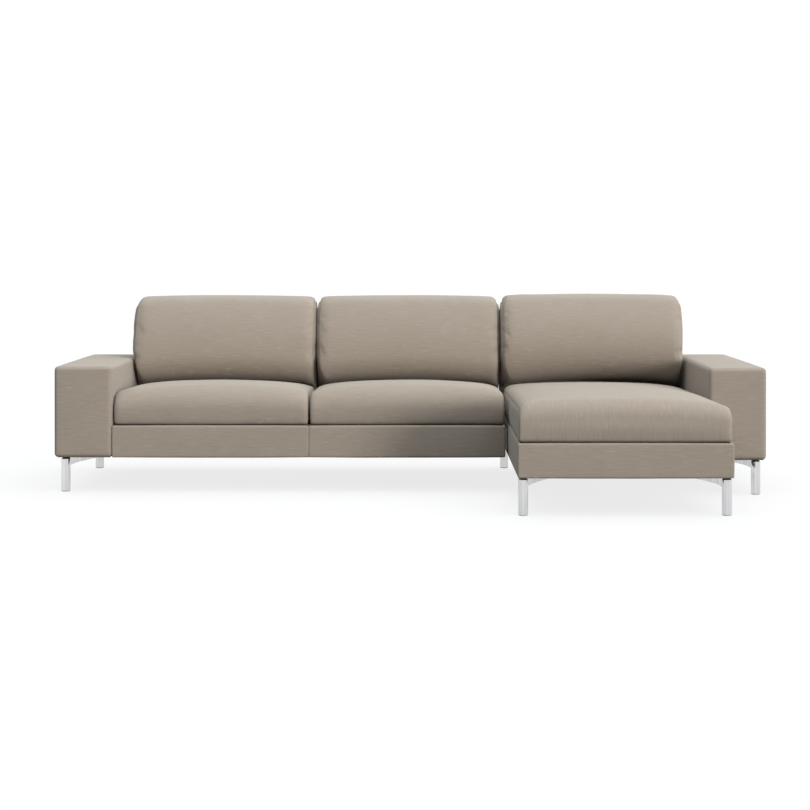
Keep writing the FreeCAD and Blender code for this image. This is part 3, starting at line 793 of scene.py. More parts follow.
def rounded_outline(corners: Sequence[tuple[float, float]], rolls: Sequence[tuple[float, float]],
                    swells: Sequence[float]) -> list[np.ndarray]:
    """The four sides of a soft rectangle, each from the middle of one corner to the next one's.

    Args:
        corners: (y, z) of the bottom front, bottom rear, top rear and top front.
        rolls: how far each corner's rounding reaches back along the side before it, and on along
            the side after it.
        swells: how far each side, from its corner to the next, stands out in its middle.

    Returns:
        Four lines of close points, in the corners' order.
    """
    weight = math.sqrt(0.5)
    points = [np.array(corner, float) for corner in corners]
    t = np.linspace(0, 1, 2 * ARC_STEPS + 1)[:, None]
    pulls = ((1 - t) ** 2, 2 * t * (1 - t) * weight, t ** 2)
    arcs = []
    for i, corner in enumerate(points):
        back = points[i - 1] - corner
        onward = points[(i + 1) % 4] - corner
        start = corner + back / np.linalg.norm(back) * rolls[i][0]
        end = corner + onward / np.linalg.norm(onward) * rolls[i][1]
        arcs.append((pulls[0] * start + pulls[1] * corner + pulls[2] * end) / sum(pulls))
    sides = []
    for i in range(4):
        start, end = arcs[i][-1], arcs[(i + 1) % 4][0]
        along = end - start
        outward = np.array([along[1], -along[0]]) / np.linalg.norm(along)
        share = np.linspace(0, 1, SIDE_POINTS)[1:-1, None]
        middle = start + along * share + outward * swells[i] * 4 * share * (1 - share)
        sides.append(np.vstack([arcs[i][ARC_STEPS:], middle, arcs[(i + 1) % 4][:ARC_STEPS + 1]]))
    return sides


def evenly(line: np.ndarray, count: int) -> np.ndarray:
    """Points that divide a line into this many equal stretches."""
    steps = np.linalg.norm(np.diff(line, axis=0), axis=1)
    run = np.concatenate([[0], np.cumsum(steps)])
    wanted = np.linspace(0, run[-1], count + 1)
    return np.column_stack([np.interp(wanted, run, line[:, column]) for column in range(2)])


def quads(numbers: np.ndarray) -> list[list[int]]:
    """The four-cornered faces between the rows and columns of a grid of vertex numbers."""
    corners = (numbers[:-1, :-1], numbers[1:, :-1], numbers[1:, 1:], numbers[:-1, 1:])
    return np.stack(corners, axis=-1).reshape(-1, 4).tolist()


def eased(distance: float, reach: float) -> float:
    """A quarter round's fall: one at the edge, none from this reach inwards."""
    left = min(1.0, max(0.0, 1 - distance / reach))
    return 1 - math.sqrt(1 - left * left)


@dataclass(frozen=True)
class Side:
    """How a cushion ends at one of its two side seams.

    The crown is how far its top comes down in one long arc from the middle, and the shoulder is the
    short round beside the seam. The front and rear faces draw in by the tuck. The swell and the lean
    move the side out in its middle and in at its top, where nothing stands beside it. The reach
    moves it out over its whole height.
    """

    crown: float
    shoulder: float = 4 * MM
    shoulder_reach: float = 12 * MM
    tuck: float = 7 * MM
    tuck_reach: float = 22 * MM
    swell: float = 0.0
    lean: float = 0.0
    reach: float = 0.0


@dataclass
class LooseCushion:
    """A foam cushion in a sewn case: one wrap of cloth, and a gusset sewn in at each side.

    The sections lie a spacing apart, and closer together at the stations beside each seam. The
    case swells by no more than its puff. A cushion that a seat lifts past is given a mesh of its own.
    kept depth, a share, towards a plane at its spine, which lies that far in front of its rear.
    """

    node: str
    body: str
    seed: float
    left: Side
    right: Side
    thread: Thread = Thread.SIDEWAYS
    fill: float = 0.75
    spacing: float = 11 * MM
    gusset_rise: float = 6 * MM
    gusset_flatness: float = 0.45
    gusset_inset: float = 2 * MM
    gusset_stand: float = 0.8 * MM
    gives_way_to: str = ""
    kept_depth: float = 0.75
    spine: float = 28 * MM
    swell_start: float = 45 * MM
    lean_curve: float = 2.5
    free_rise: float = 25 * MM
    beside_seam: Sequence[int] = (0, 2, 5, 10, 16, 23, 31, 40)
    seam_share: float = 0.02
    seam_depth: float = 2.2 * MM
    pucker: float = 0.3
    pucker_size: float = 0.02
    wrinkle: float = 0.9 * MM
    wrinkle_size: float = 0.16
    puff: float = 6 * MM
    low: Vector = field(init=False)
    high: Vector = field(init=False)

    def __post_init__(self) -> None:
        """Read the space that the cushion has."""
        self.low, self.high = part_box(self.node)

    def section(self, tuck: float, fall: float, fullness: float) -> tuple[list, list, list]:
        """Corners, rolls and swells of the cross-section at one place.

        Args:
            tuck: how far the front and the rear have drawn in.
            fall: how far the top has come down.
            fullness: one in the cushion's middle, none at its seams.
        """
        raise NotImplementedError

    def outline(self, tuck: float, fall: float, fullness: float) -> list[np.ndarray]:
        """The four sides of the cross-section at one place, as close points; the values are section's."""
        return rounded_outline(*self.section(tuck, fall, fullness))

    def free_height(self) -> tuple[float, float]:
        """From where to where the sides have nothing beside them."""
        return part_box("left_arm_cover")[1].z, self.high.z

    def across(self, places: np.ndarray) -> np.ndarray:
        """How far places lie from the left side, none, to the right one, one."""
        return (places[:, 0] - self.low.x) / (self.high.x - self.low.x)

    def fill_sides(self, places: np.ndarray) -> np.ndarray:
        """Move the sides out where they are free, and in towards the top."""
        low, high = self.free_height()
        rise = np.clip((places[:, 2] - low) / (high - low), 0, 1)
        start = np.sin(np.clip((places[:, 2] - low) / self.swell_start, 0, 1) * math.pi / 2)
        share = self.across(places)
        for side, outward, near in ((self.left, -1, 1 - share), (self.right, 1, share)):
            move = side.reach + side.swell * start * (1 - rise ** 2) - side.lean * rise ** self.lean_curve
            places[:, 0] += outward * move * np.clip(near, 0, 1) ** 2
        return places

    def counts(self) -> tuple[int, int]:
        """How many stretches the long and the short sides of the section have."""
        sides = self.outline(0, 0, 1)
        lengths = [np.linalg.norm(np.diff(side, axis=0), axis=1).sum() for side in sides]
        long_side, short_side = (max(lengths[i], lengths[i + 2]) for i in (0, 1))
        return round(long_side / self.spacing), round(short_side / self.spacing)

    def stations(self) -> list[float]:
        """Where the sections lie, from the left seam to the right one: close beside the seams."""
        start = self.low.x + self.gusset_rise
        width = self.high.x - self.low.x - 2 * self.gusset_rise
        near = [step * MM for step in self.beside_seam]
        count = round((width - 2 * near[-1]) / self.spacing)
        inner = [near[-1] + (width - 2 * near[-1]) * i / count for i in range(1, count)]
        return [start + place for place in near + inner + [width - place for place in reversed(near)]]

    def ring(self, place: float, counts: tuple[int, int]) -> np.ndarray:
        """The section at one place along X, as a closed ring of points."""
        start, end = self.low.x + self.gusset_rise, self.high.x - self.gusset_rise
        share = 2 * (place - start) / (end - start) - 1
        side, distance = (self.left, place - start) if share < 0 else (self.right, end - place)
        fullness = math.sqrt(max(0.0, 1 - share * share))
        sides = self.outline(
            side.tuck * eased(distance, side.tuck_reach),
            side.shoulder * eased(distance, side.shoulder_reach) + side.crown * (1 - fullness),
            fullness,
        )
        flat = np.vstack([evenly(side, count)[:-1] for side, count in zip(sides, counts * 2)])
        return np.column_stack([np.full(len(flat), place), flat])

    def gusset(self, ring: np.ndarray, counts: tuple[int, int], outward: int) -> np.ndarray:
        """Points of a gusset inside its seam: a grid that fills the ring and stands out a little.

        Args:
            ring: the seam's points.
            counts: stretches of the long and the short sides.
            outward: -1 on the left side, 1 on the right.

        Returns:
            An array of (long + 1) by (short + 1) points, whose border lies just inside the seam.
        """
        long_count, short_count = counts
        centre = ring.mean(axis=0)
        step = ring - centre
        inset = ring - step / np.linalg.norm(step, axis=1)[:, None] * self.gusset_inset
        bottom = inset[:long_count + 1]
        rear = inset[long_count:long_count + short_count + 1]
        top = inset[long_count + short_count:2 * long_count + short_count + 1][::-1]
        front = np.vstack([inset[2 * long_count + short_count:], inset[:1]])[::-1]
        u = np.linspace(0, 1, long_count + 1)[:, None, None]
        v = np.linspace(0, 1, short_count + 1)[None, :, None]
        grid = (1 - v) * bottom[:, None] + v * top[:, None] + (1 - u) * front[None] + u * rear[None]
        grid -= (1 - v) * ((1 - u) * bottom[0] + u * bottom[-1]) + v * ((1 - u) * top[0] + u * top[-1])
        fullness = (np.sin(math.pi * u[:, :, 0]) * np.sin(math.pi * v[:, :, 0])) ** self.gusset_flatness
        grid[:, :, 0] += outward * (self.gusset_stand + (self.gusset_rise - self.gusset_stand) * fullness)
        return grid

    def mesh(self) -> tuple[Piece, int]:
        """Build the sewn case as a closed mesh.

        Returns:
            The piece, and the number of points of one ring. The first ring is the left seam.
        """
        counts = self.counts()
        rings = [self.ring(place, counts) for place in self.stations()]
        around = len(rings[0])
        points = list(rings)
        numbers = np.arange(len(rings) * around).reshape(-1, around)
        faces = quads(np.column_stack([numbers, numbers[:, 0]]))
        for end, outward in ((0, -1), (-1, 1)):
            first = sum(len(group) for group in points)
            grid = self.gusset(rings[end], counts, outward)
            points.append(grid.reshape(-1, 3))
            inside = first + np.arange(grid.size // 3).reshape(grid.shape[:2])
            border = [*inside[:-1, 0], *inside[-1, :-1], *inside[:0:-1, -1], *inside[0, :0:-1]]
            faces += quads(inside)
            faces += quads(np.column_stack([
                [*numbers[end], numbers[end][0]], [*border, border[0]],
            ]))
        data = bpy.data.meshes.new(self.node)
        data.from_pydata(np.vstack(points).tolist(), [], faces)
        work = bmesh.new()
        work.from_mesh(data)
        bmesh.ops.recalc_face_normals(work, faces=work.faces)
        work.to_mesh(data)
        work.free()
        return add_object(self.node.replace("_cushion", "_loose_cushion"), data), around

    def pull_cloth_on(self, piece: Piece) -> None:
        """Let air pressure fill the case for some frames, and keep a capped share of the result."""
        before = vertex_places(piece)
        cloth = piece.modifiers.new("cloth", "CLOTH")
        for name, value in CLOTH.items():
            setattr(cloth.settings, name, value)
        cloth.settings.effector_weights.gravity = 0
        cloth.point_cache.frame_start = 1
        cloth.point_cache.frame_end = CLOTH_FRAMES
        for moment in range(1, CLOTH_FRAMES + 1):
            bpy.context.scene.frame_set(moment)
        blown = piece.evaluated_get(bpy.context.evaluated_depsgraph_get()).to_mesh()
        step = rows_of(blown.vertices, "co") - before
        piece.modifiers.remove(cloth)
        bpy.context.scene.frame_set(1)
        length = np.linalg.norm(step, axis=1)[:, None]
        kept = step * self.puff * np.tanh(length / self.puff) / np.maximum(length, 1e-9)
        # A blown case draws its sides in, and the foam in the real one holds them apart
        share = self.across(before)
        for near in (share, 1 - share):
            kept[:, 0] -= kept[near < self.seam_share, 0].mean() * (1 - near)
        put_vertices(piece, before + kept)

    def keep_in_space(self, piece: Piece) -> None:
        """Hold the cushion between its neighbours and on its deck."""
        places = vertex_places(piece)
        free = np.clip((places[:, 2] - self.free_height()[0]) / self.free_rise, 0, 1)
        low = self.low.x - self.left.reach - free * max(0.0, self.left.swell)
        high = self.high.x + self.right.reach + free * max(0.0, self.right.swell)
        places[:, 0] = np.clip(places[:, 0], low, high)
        places[:, 2] = np.maximum(places[:, 2], self.low.z)
        put_vertices(piece, places)

    def build(self, finishes: Finishes) -> None:
        """Make the finished cushion."""
        piece, around = self.mesh()
        put_vertices(piece, self.fill_sides(vertex_places(piece)))
        self.pull_cloth_on(piece)
        places = vertex_places(piece)
        normals = vertex_normals(piece)
        places += normals * (self.wrinkle * uneven(places, self.wrinkle_size, self.seed))[:, None]
        for start in (0, (len(self.stations()) - 1) * around):
            seam = slice(start, start + around)
            pucker = 1 + self.pucker * uneven(places[seam], self.pucker_size, self.seed + 5)
            places[seam] -= normals[seam] * (self.seam_depth * pucker)[:, None]
        put_vertices(piece, places)
        self.keep_in_space(piece)
        apply_modifier(piece, "SUBSURF", levels=1, render_levels=1)
        shade_smooth(piece)
        name = "woven_polyester" if self.thread is Thread.SIDEWAYS else "woven_polyester_lengthways"
        dress(piece, finishes[name], self.body, "cushion_fabric", self.node)
        if self.gives_way_to:
            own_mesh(piece)


@dataclass
class SeatCushion(LooseCushion):
    """A seat cushion: flat below, crowned above, with a full rolled front."""

    front_edge: float = 165 * MM
    rear_edge: float = 146 * MM
    nose: float = 0.58
    heel: float = 0.38
    heel_depth: float = 11 * MM
    rear_roll: float = 45 * MM
    bottom_roll: float = 10 * MM
    crown: float = 9 * MM
    belly: float = 0.0
    narrowing: float = 4 * MM

    def section(self, tuck: float, fall: float, fullness: float) -> tuple[list, list, list]:
        """Corners, rolls and swells of the cross-section.

        The nose is the share of the front's height that its top round takes, and the heel the share
        that its bottom takes to draw in.
        """
        low = self.low.z
        front = self.front_edge - fall
        rear = self.rear_edge - fall
        near = self.low.y + self.narrowing * (1 - fullness) + tuck
        far = self.high.y - tuck
        return (
            [(near, low), (far, low), (far, low + rear), (near, low + front)],
            [
                (self.heel * front, self.heel_depth),
                (self.bottom_roll, self.bottom_roll),
                (self.rear_roll, self.rear_roll),
                (self.nose * front, self.nose * front),
            ],
            [0.0, 0.0, self.crown * fullness, self.belly * fullness],
        )


@dataclass
class BackCushion(LooseCushion):
    """A back cushion: it stands on the deck, leans back, and bellies out over the seat.

    The foot and the head are its depth at the deck and at its top. Its front hangs over the seat
    from the level overhang_low on, in full from overhang_full on, and goes back by the rake
    towards the top. Both levels fall by the overhang's fall beside the seams.
    """

    foot: float = 60 * MM
    head: float = 140 * MM
    lean: float = 52 * MM
    belly: float = 13 * MM
    overhang: float = 134 * MM
    overhang_low: float = 0.438
    overhang_full: float = 0.562
    overhang_fall: float = 38 * MM
    rake: float = 0.74
    stand: float = 1 * MM
    top_roll: float = 42 * MM
    bottom_roll: float = 20 * MM
    front_fade: float = 25 * MM
    gusset_rise: float = 11 * MM
    gusset_flatness: float = 0.15

    def section(self, tuck: float, fall: float, fullness: float) -> tuple[list, list, list]:
        """Corners, rolls and swells of the cross-section."""
        low = self.low.z
        high = self.high.z + self.stand - fall
        far_high = self.high.y
        far_low = far_high - self.lean
        near_low = far_low - self.foot + tuck
        near_high = far_high - self.head + tuck
        return (
            [(near_low, low), (far_low - tuck, low), (far_high - tuck, high), (near_high, high)],
            [(roll, roll) for roll in (self.bottom_roll, self.bottom_roll, self.top_roll, self.top_roll)],
            [0.0, 0.0, 0.0, self.belly],
        )

    def outline(self, tuck: float, fall: float, fullness: float) -> list[np.ndarray]:
        """The section's sides, with the front's lower half hung over the seat in a deep round."""
        fallen = self.overhang_fall * (1 - fullness)
        low, full = self.overhang_low - fallen, self.overhang_full - fallen
        middle = (self.low.y + self.high.y) / 2
        sides = super().outline(tuck, fall, fullness)
        for side in sides:
            front = np.clip((middle - side[:, 0]) / self.front_fade, 0, 1)
            below = np.clip((side[:, 1] - low) / (full - low), 0, 1)
            above = np.clip((side[:, 1] - full) / (self.high.z - full), 0, 1)
            depth = np.sqrt(1 - (1 - below) ** 2) * (1 - self.rake * above ** 2)
            side[:, 0] -= self.overhang * front * depth
        return sides


# Legs


@dataclass
class Legs:
    """Seven chromed tubes, each with a wing bracket, a black collar and a glide."""

    diameter: float = 40 * MM
    wall: float = 2 * MM
    tube_low: float = 3 * MM
    tube_high: float = 142 * MM
    underside: float = 150 * MM
    collar_diameter: float = 32 * MM
    wing_reach: float = 170 * MM
    wing_height: float = 41 * MM
    wing_throat: float = 28 * MM
    wing_throat_reach: float = 46 * MM
    wing_tip: float = 14 * MM
    wing_web: float = 6 * MM
    flange: float = 3 * MM
    flange_width: float = 30 * MM
    flange_tip: float = 12 * MM
    glide_depth: float = 12 * MM
    glide_play: float = 0.2 * MM
    glide_headroom: float = 0.4 * MM
    screw_radius: float = 3.4 * MM
    screw_depth: float = 2.2 * MM
    screw_reach: float = 44 * MM
    screw_aside: float = 7.8 * MM
    screw_round: float = 1.0 * MM
    recess_rim: float = 0.8 * MM
    recess_depth: float = 0.9 * MM
    top_easing: float = 1.5 * MM
    foot_easing: float = 0.5 * MM
    edge_easing: float = 0.8 * MM
    plate_corner: float = 2.5 * MM
    plate_easing: float = 0.4 * MM
    facets: int = 64
    disc_facets: int = 48
    screw_facets: int = 20
    web_columns: int = 18
    smooth_up_to: float = 35

    @property
    def root(self) -> float:
        """Where the wing starts, in the middle of the tube's wall."""
        return self.diameter / 2 - self.wall / 2

    @property
    def tip(self) -> float:
        """Where the wing ends."""
        return self.diameter / 2 + self.wing_reach

    def places(self) -> list[tuple[str, str, float, float, float]]:
        """Name, node, X, Y and heading of each leg, read from the record's rests."""
        found = []
        for mount in frame["record"]["mounts"]:
            if mount["name"].endswith("_leg"):
                place = mount["name"].removesuffix("_leg")
                group = "chaise_legs" if place.startswith("chaise") else f"{place.split('_')[0]}_arm_legs"
                inwards = 45 if "left" in place else 135
                heading = -inwards if place.endswith("rear") else inwards
                x, y, _ = mount["pos_m"]
                found.append((place, group, x, y, math.radians(heading)))
        return found

    def tube(self) -> Piece:
        """The leg's tube at the origin: closed and eased at its top, open at its foot."""
        middle = (self.tube_low + self.tube_high) / 2
        piece = new_primitive(
            bpy.ops.mesh.primitive_cylinder_add, "leg_tube", Vector((0, 0, middle)), vertices=self.facets,
            radius=self.diameter / 2, depth=self.tube_high - self.tube_low,
        )
        with editing(piece):
            sink(piece, lambda corner: corner.co.z < middle, self.wall, self.glide_depth)
            ease(piece, lambda corner: corner.co.z > middle, self.top_easing, 3)
            foot, rim = self.tube_low + NEAR, self.diameter / 2 - NEAR
            ease(piece, lambda corner: corner.co.z < foot and corner.co.xy.length > rim, self.foot_easing, 2)
        return piece

    def web_depth(self, reach: float) -> float:
        """How deep the web is at a reach from the tube: steep beside it, then one long straight taper."""
        reach = max(0.0, reach)
        slope = (self.wing_throat - self.wing_tip) / (self.wing_reach - self.wing_throat_reach)
        straight = self.wing_throat + slope * (self.wing_throat_reach - reach)
        at_tube = self.wing_throat + slope * self.wing_throat_reach
        return straight + (self.wing_height - at_tube) * max(0.0, 1 - 4 * reach / self.wing_reach) ** 2

    def wing_block(self, name: str, width: float, depth: float) -> Piece:
        """A block that runs from the tube to the wing's tip, right under the base."""
        low = Vector((self.root, -width / 2, self.underside - depth))
        return new_block(name, low, Vector((self.tip, width / 2, self.underside)))

    def web(self) -> Piece:
        """The bracket's upright plate, whose lower edge sweeps up in a curve to its tip."""
        piece = self.wing_block("leg_web", self.wing_web, self.wing_height)
        step = (self.tip - self.root) / self.web_columns
        slice_across(piece, Axis.X, [self.root + step * i for i in range(1, self.web_columns)])
        with editing(piece) as mesh:
            for corner in mesh.verts:
                if corner.co.z < self.underside - self.flange:
                    corner.co.z = self.underside - self.web_depth(corner.co.x - self.diameter / 2)
            ease(piece, lambda corner: corner.co.z < self.underside - self.flange / 2, self.edge_easing, 2)
        return piece

    def top_plate(self) -> Piece:
        """The bracket's flared plate, screwed up against the base."""
        piece = self.wing_block("leg_plate", self.flange_width, self.flange)
        with editing(piece):
            pick(piece, "verts", lambda corner: corner.co.x > self.tip - NEAR)
            bpy.ops.transform.resize(value=(1, self.flange_tip / self.flange_width, 1))
            ease(piece, lambda corner: corner.co.x > self.tip - NEAR, self.plate_corner, 4)
            bpy.ops.mesh.select_all(action="SELECT")
            bpy.ops.mesh.bevel(offset=self.plate_easing, segments=2)
        return piece

    def disc(self, name: str, diameter: float, low: float, high: float) -> Piece:
        """A short turned piece with eased rims."""
        middle = (low + high) / 2
        piece = new_primitive(
            bpy.ops.mesh.primitive_cylinder_add, name, Vector((0, 0, middle)), vertices=self.disc_facets,
            radius=diameter / 2, depth=high - low,
        )
        with editing(piece):
            for is_top in (True, False):
                ease(piece, lambda corner: (corner.co.z > middle) == is_top, self.edge_easing, 2)
        return piece

    def screw_heads(self) -> Piece:
        """Two pan-head screws that hold the plate, one each side of the web."""
        middle = self.underside - self.flange - self.screw_depth / 2
        heads = []
        for side in (-1, 1):
            head = new_primitive(
                bpy.ops.mesh.primitive_cylinder_add, "leg_screw",
                Vector((self.screw_reach, side * self.screw_aside, middle)), vertices=self.screw_facets,
                radius=self.screw_radius, depth=self.screw_depth,
            )
            with editing(head):
                ease(head, lambda corner: corner.co.z < middle, self.screw_round, 3)
                bottom = middle - self.screw_depth / 2 + NEAR
                sink(head, lambda corner: corner.co.z < bottom, self.recess_rim, self.recess_depth)
            heads.append(head)
        return join(heads, "leg_screws")

    def build(self, finishes: Finishes) -> None:
        """Make one leg's pieces, and copy them to every leg's place."""
        leg = join([self.tube(), self.web(), self.top_plate()], "leg")
        collar = self.disc("collar", self.collar_diameter, self.tube_high, self.underside)
        bore = self.diameter - 2 * self.wall
        glide_top = self.tube_low + self.glide_depth - self.glide_headroom
        glide = self.disc("glide", bore - self.glide_play, 0.0, glide_top)
        screws = self.screw_heads()
        for piece in (leg, collar, glide, screws):
            shade_smooth(piece, self.smooth_up_to)
        for place, group, x, y, heading in self.places():
            turn = Matrix.Translation((x, y, 0)) @ Matrix.Rotation(heading, 4, "Z")
            for piece, suffix, material, slot, node in (
                (leg, "leg", "polished_chrome", "polished_chrome", group),
                (collar, "leg_collar", "moulded_black_abs", "black_plastic", "leg_collars"),
                (glide, "leg_glide", "nylon_glide", "glide_plastic", "leg_glides"),
                (screws, "leg_screws", "zinc_plated_steel", "plated_steel", None),
            ):
                copy = piece.copy()
                copy.data = piece.data.copy()
                copy.name = f"{place}_{suffix}"
                copy.data.transform(turn)
                bpy.context.scene.collection.objects.link(copy)
                dress(copy, finishes[material], SOFA_BODY, slot, *([node] if node else []))
        for piece in (leg, collar, glide, screws):
            bpy.data.objects.remove(piece)


def join(pieces: Sequence[Piece], name: str) -> Piece:
    """Join pieces into one, under a new name."""
    select_only(*pieces)
    bpy.ops.object.join()
    pieces[0].name = name
    pieces[0].data.name = name
    return pieces[0]


# Underside


@dataclass
class Underside:
    """The black cloths stapled under the bases and arms."""

    drop: float = 0.4 * MM
    sag: float = 2.0 * MM
    least_sag: float = 0.7
    sag_size: float = 0.2
    grid: float = 40 * MM

    def cloths(self) -> list[tuple[Vector, Vector]]:
        """Corners of each cloth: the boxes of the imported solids, which lie side by side."""
        places = vertex_places(frame["nodes"]["dust_covers"])
        across = places[:, 0].round(5)
        ends = np.unique(across)
        boxes = []
        for left, right in zip(ends[::2], ends[1::2]):
            corners = places[(across >= left) & (across <= right)]
            boxes.append((Vector(corners.min(axis=0)), Vector(corners.max(axis=0))))
        return boxes

    def build(self, finishes: Finishes) -> None:
        """Make the four cloths."""
        for name, (low, high) in zip(("left_arm", "sofa", "chaise", "right_arm"), self.cloths()):
            size = high - low
            piece = new_primitive(
                bpy.ops.mesh.primitive_grid_add, f"{name}_dust_cloth",
                Vector(((low.x + high.x) / 2, (low.y + high.y) / 2, low.z - self.drop)), (size.x, size.y, 1),
                size=1, x_subdivisions=max(4, round(size.x / self.grid)),
                y_subdivisions=max(4, round(size.y / self.grid)),
            )
            places = vertex_places(piece)
            share = (places[:, :2] - np.array(low.xy)) / np.array(size.xy)
            free = np.sin(math.pi * np.clip(share, 0, 1)).prod(axis=1)
            slack = self.least_sag + (1 - self.least_sag) * uneven(places, self.sag_size, size.x)
            places[:, 2] -= free * self.sag * slack
            put_vertices(piece, places)
            shade_smooth(piece)
            dress(piece, finishes["spunbonded_polypropylene"], SOFA_BODY, "dust_cloth", "dust_covers")


# Inner frame


class InnerFrame:
    """The timber, board, straps and steel, whose solids are right as they are."""

    endings: dict[str, Sequence[str]] = {
        "planed_pine_sideways": ("front_rail", "rear_rail", "seat_rail", "top_rail", "cross_rails"),
        "planed_pine_lengthways": ("side_rails", "centre_rail"),
        "planed_pine_upright": ("corner_blocks", "back_posts"),
        "hardboard": ("back_board",),
        "poplar_plywood": ("arm_frame",),
        "elastic_webbing_lengthways": ("sofa_webbing",),
        "elastic_webbing_sideways": ("chaise_webbing",),
        "zinc_plated_steel": ("connector_tongues", "connector_sockets", "joint_plates"),
    }

    def build(self, finishes: Finishes) -> None:
        """Give each node whose name has one of these endings its material."""
        for name, node in frame["nodes"].items():
            for material, endings in self.endings.items():
                if name.endswith(endings):
                    paint(node, finishes[material])
                    LOG.info("%s: %s", name, material)


# Studio


@dataclass
class Studio:
    """A pale floor under a soft dome of light, one low light from the front right, and the camera.

    The dome is brightest above and a little to the right: sky is its radiance at the horizon, and
    lean is how much it grows towards each axis. The low light lies towards sun_towards, looks
    sun_spread degrees wide, and gives sun_strength watts per square metre.
    """

    lens: float = 80.0
    sensor: float = 36.0
    eye: Point = (0.0335, -7.8745, 1.050)
    shift: Pair = (-0.0140, -0.1925)
    floor_glow: float = 0.80
    floor_shade: str = "676767"
    floor_bounce: str = "4A4845"
    sky: float = 0.08
    lean: Point = (0.72, -0.08, 2.20)
    sky_shade: str = "FAFFFF"
    sun_shade: str = "FFF8F2"
    sun_towards: Point = (0.63, -0.78, 0.11)
    sun_spread: float = 18
    sun_strength: float = 2.0
    floor_size: float = 400

    def camera(self) -> None:
        """A level camera in front of the sofa."""
        data = bpy.data.cameras.new("camera")
        data.lens, data.sensor_width = self.lens, self.sensor
        data.shift_x, data.shift_y = self.shift
        camera = add_object("camera", data)
        camera.location = self.eye
        camera.rotation_euler = (math.radians(90), 0, 0)
        bpy.context.scene.camera = camera

    def floor(self) -> None:
        """A wide floor that looks white, takes the sofa's shadow and throws light up at it."""
        piece = new_primitive(
            bpy.ops.mesh.primitive_plane_add, "studio_floor", Vector((0, 0, 0)), size=self.floor_size,
        )
        material, tree = new_material("pale_floor")
        shaded = add_node(tree, "BsdfDiffuse", {"Color": linear(self.floor_shade)})
        glow = add_node(tree, "Emission", {"Strength": self.floor_glow})
        both = add_node(tree, "AddShader", {0: shaded.outputs[0], 1: glow.outputs[0]})
        bounce = add_node(tree, "BsdfDiffuse", {"Color": linear(self.floor_bounce)})
        seen = seen_by(tree, "Camera", "Glossy")
        shown = add_node(tree, "MixShader", {0: seen, 1: bounce.outputs[0], 2: both.outputs[0]})
        add_node(tree, "OutputMaterial", {"Surface": shown.outputs[0]})
        paint(piece, material)

    def world(self) -> None:
        """The dome for the light, and plain white for the eye and in the chrome."""
        world = bpy.data.worlds.new("studio")
        world.use_nodes = True
        tree = world.node_tree
        tree.nodes.clear()
        towards = add_node(tree, "TexCoord").outputs["Generated"]
        growth = add_node(tree, "VectorMath", {0: towards, 1: self.lean}, operation="DOT_PRODUCT")
        radiance = math_of(tree, "ADD", growth.outputs["Value"], self.sky)
        strength = math_of(tree, "MAXIMUM", radiance, 0.0)
        light = add_node(tree, "Background", {"Color": linear(self.sky_shade), "Strength": strength})
        backdrop = add_node(tree, "Background", {"Color": (1, 1, 1, 1), "Strength": 1.0})
        seen = seen_by(tree, "Camera", "Glossy", "Transmission")
        shown = add_node(tree, "MixShader", {0: seen, 1: light.outputs[0], 2: backdrop.outputs[0]})
        add_node(tree, "OutputWorld", {"Surface": shown.outputs[0]})
        bpy.context.scene.world = world

    def sun(self) -> None:
        """Light from very far, as from a wide window."""
        data = bpy.data.lights.new("front_right", "SUN")
        data.angle = math.radians(self.sun_spread)
        data.energy = self.sun_strength
        data.color = linear(self.sun_shade)[:3]
        lamp = add_object("front_right", data)
        lamp.rotation_euler = Vector(self.sun_towards).to_track_quat("Z", "Y").to_euler()
        lamp.visible_glossy = False

    def build(self) -> None:
        """Set up floor, light and camera."""
        self.floor()
        self.world()
        self.sun()
        self.camera()
        bpy.context.scene.view_settings.view_transform = "Standard"


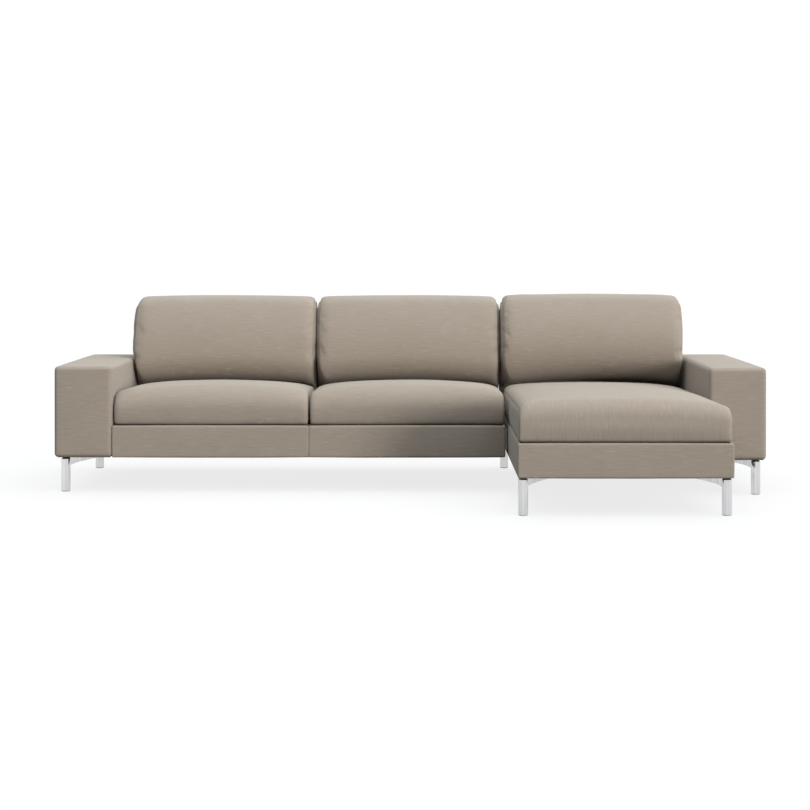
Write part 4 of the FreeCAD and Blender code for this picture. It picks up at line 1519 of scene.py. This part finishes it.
def cushions() -> list[LooseCushion]:
    """The six loose cushions, with what sets each one apart."""
    seat = Side(crown=34 * MM)
    seat_by_arm = Side(crown=36 * MM, tuck=14 * MM, tuck_reach=30 * MM)
    chaise_corner = Side(
        crown=20 * MM, shoulder=24 * MM, shoulder_reach=34 * MM, tuck=3 * MM, tuck_reach=8 * MM,
    )
    chaise_by_arm = Side(crown=40 * MM, tuck=10 * MM, swell=7 * MM)
    back = Side(
        crown=14 * MM, shoulder=23 * MM, shoulder_reach=27 * MM, tuck=13 * MM, tuck_reach=55 * MM,
        swell=1.2 * MM,
    )
    back_at_back = replace(back, shoulder=14 * MM, shoulder_reach=22 * MM)
    back_at_joint = replace(back, swell=0.0, reach=7.7 * MM)
    back_free_left = replace(back, shoulder=21 * MM, swell=6 * MM)
    back_free_right = replace(
        back, shoulder=17 * MM, shoulder_reach=21 * MM, swell=-8 * MM, lean=-6 * MM, reach=-9 * MM,
    )
    return [
        SeatCushion("left_seat_cushion", "left_seat", 1.0, seat_by_arm, seat),
        SeatCushion("middle_seat_cushion", "middle_seat", 2.0, seat, seat),
        SeatCushion(
            "chaise_seat_cushion", "chaise_seat", 3.0, chaise_corner, chaise_by_arm, Thread.LENGTHWAYS,
            spacing=13 * MM, front_edge=166 * MM, rear_edge=140 * MM, nose=0.46, heel=0.12,
            heel_depth=6 * MM, belly=5 * MM,
        ),
        BackCushion(
            "left_back_cushion", "left_back", 4.0, back_free_left, back_at_back,
            gives_way_to="left_seat_lift",
        ),
        BackCushion(
            "middle_back_cushion", "middle_back", 5.0, back_at_back, back_at_joint,
            gives_way_to="middle_seat_lift",
        ),
        BackCushion(
            "chaise_back_cushion", "chaise_back", 6.0, back_at_joint, back_free_right,
            overhang=165 * MM, overhang_low=0.437, overhang_full=0.610, rake=0.66, stand=7 * MM,
            gives_way_to="chaise_seat_lift", kept_depth=0.66,
        ),
    ]


def main() -> None:
    """Build every sub-assembly in order."""
    logging.basicConfig(level=logging.INFO, format="%(name)s %(message)s")
    finishes = Finishes()
    InnerFrame().build(finishes)
    for padded_frame in (
        BoxArm("left_arm", 11.0, outward=4.5 * MM), BoxArm("right_arm", 12.0),
        BackRest("sofa_back", 13.0), BackRest("chaise_back", 14.0),
    ):
        padded_frame.build(finishes)
    BasePanels().build(finishes)
    for cushion in cushions():
        cushion.build(finishes)
    Legs().build(finishes)
    Underside().build(finishes)
    Studio().build()


if __name__ == "__main__":
    main()
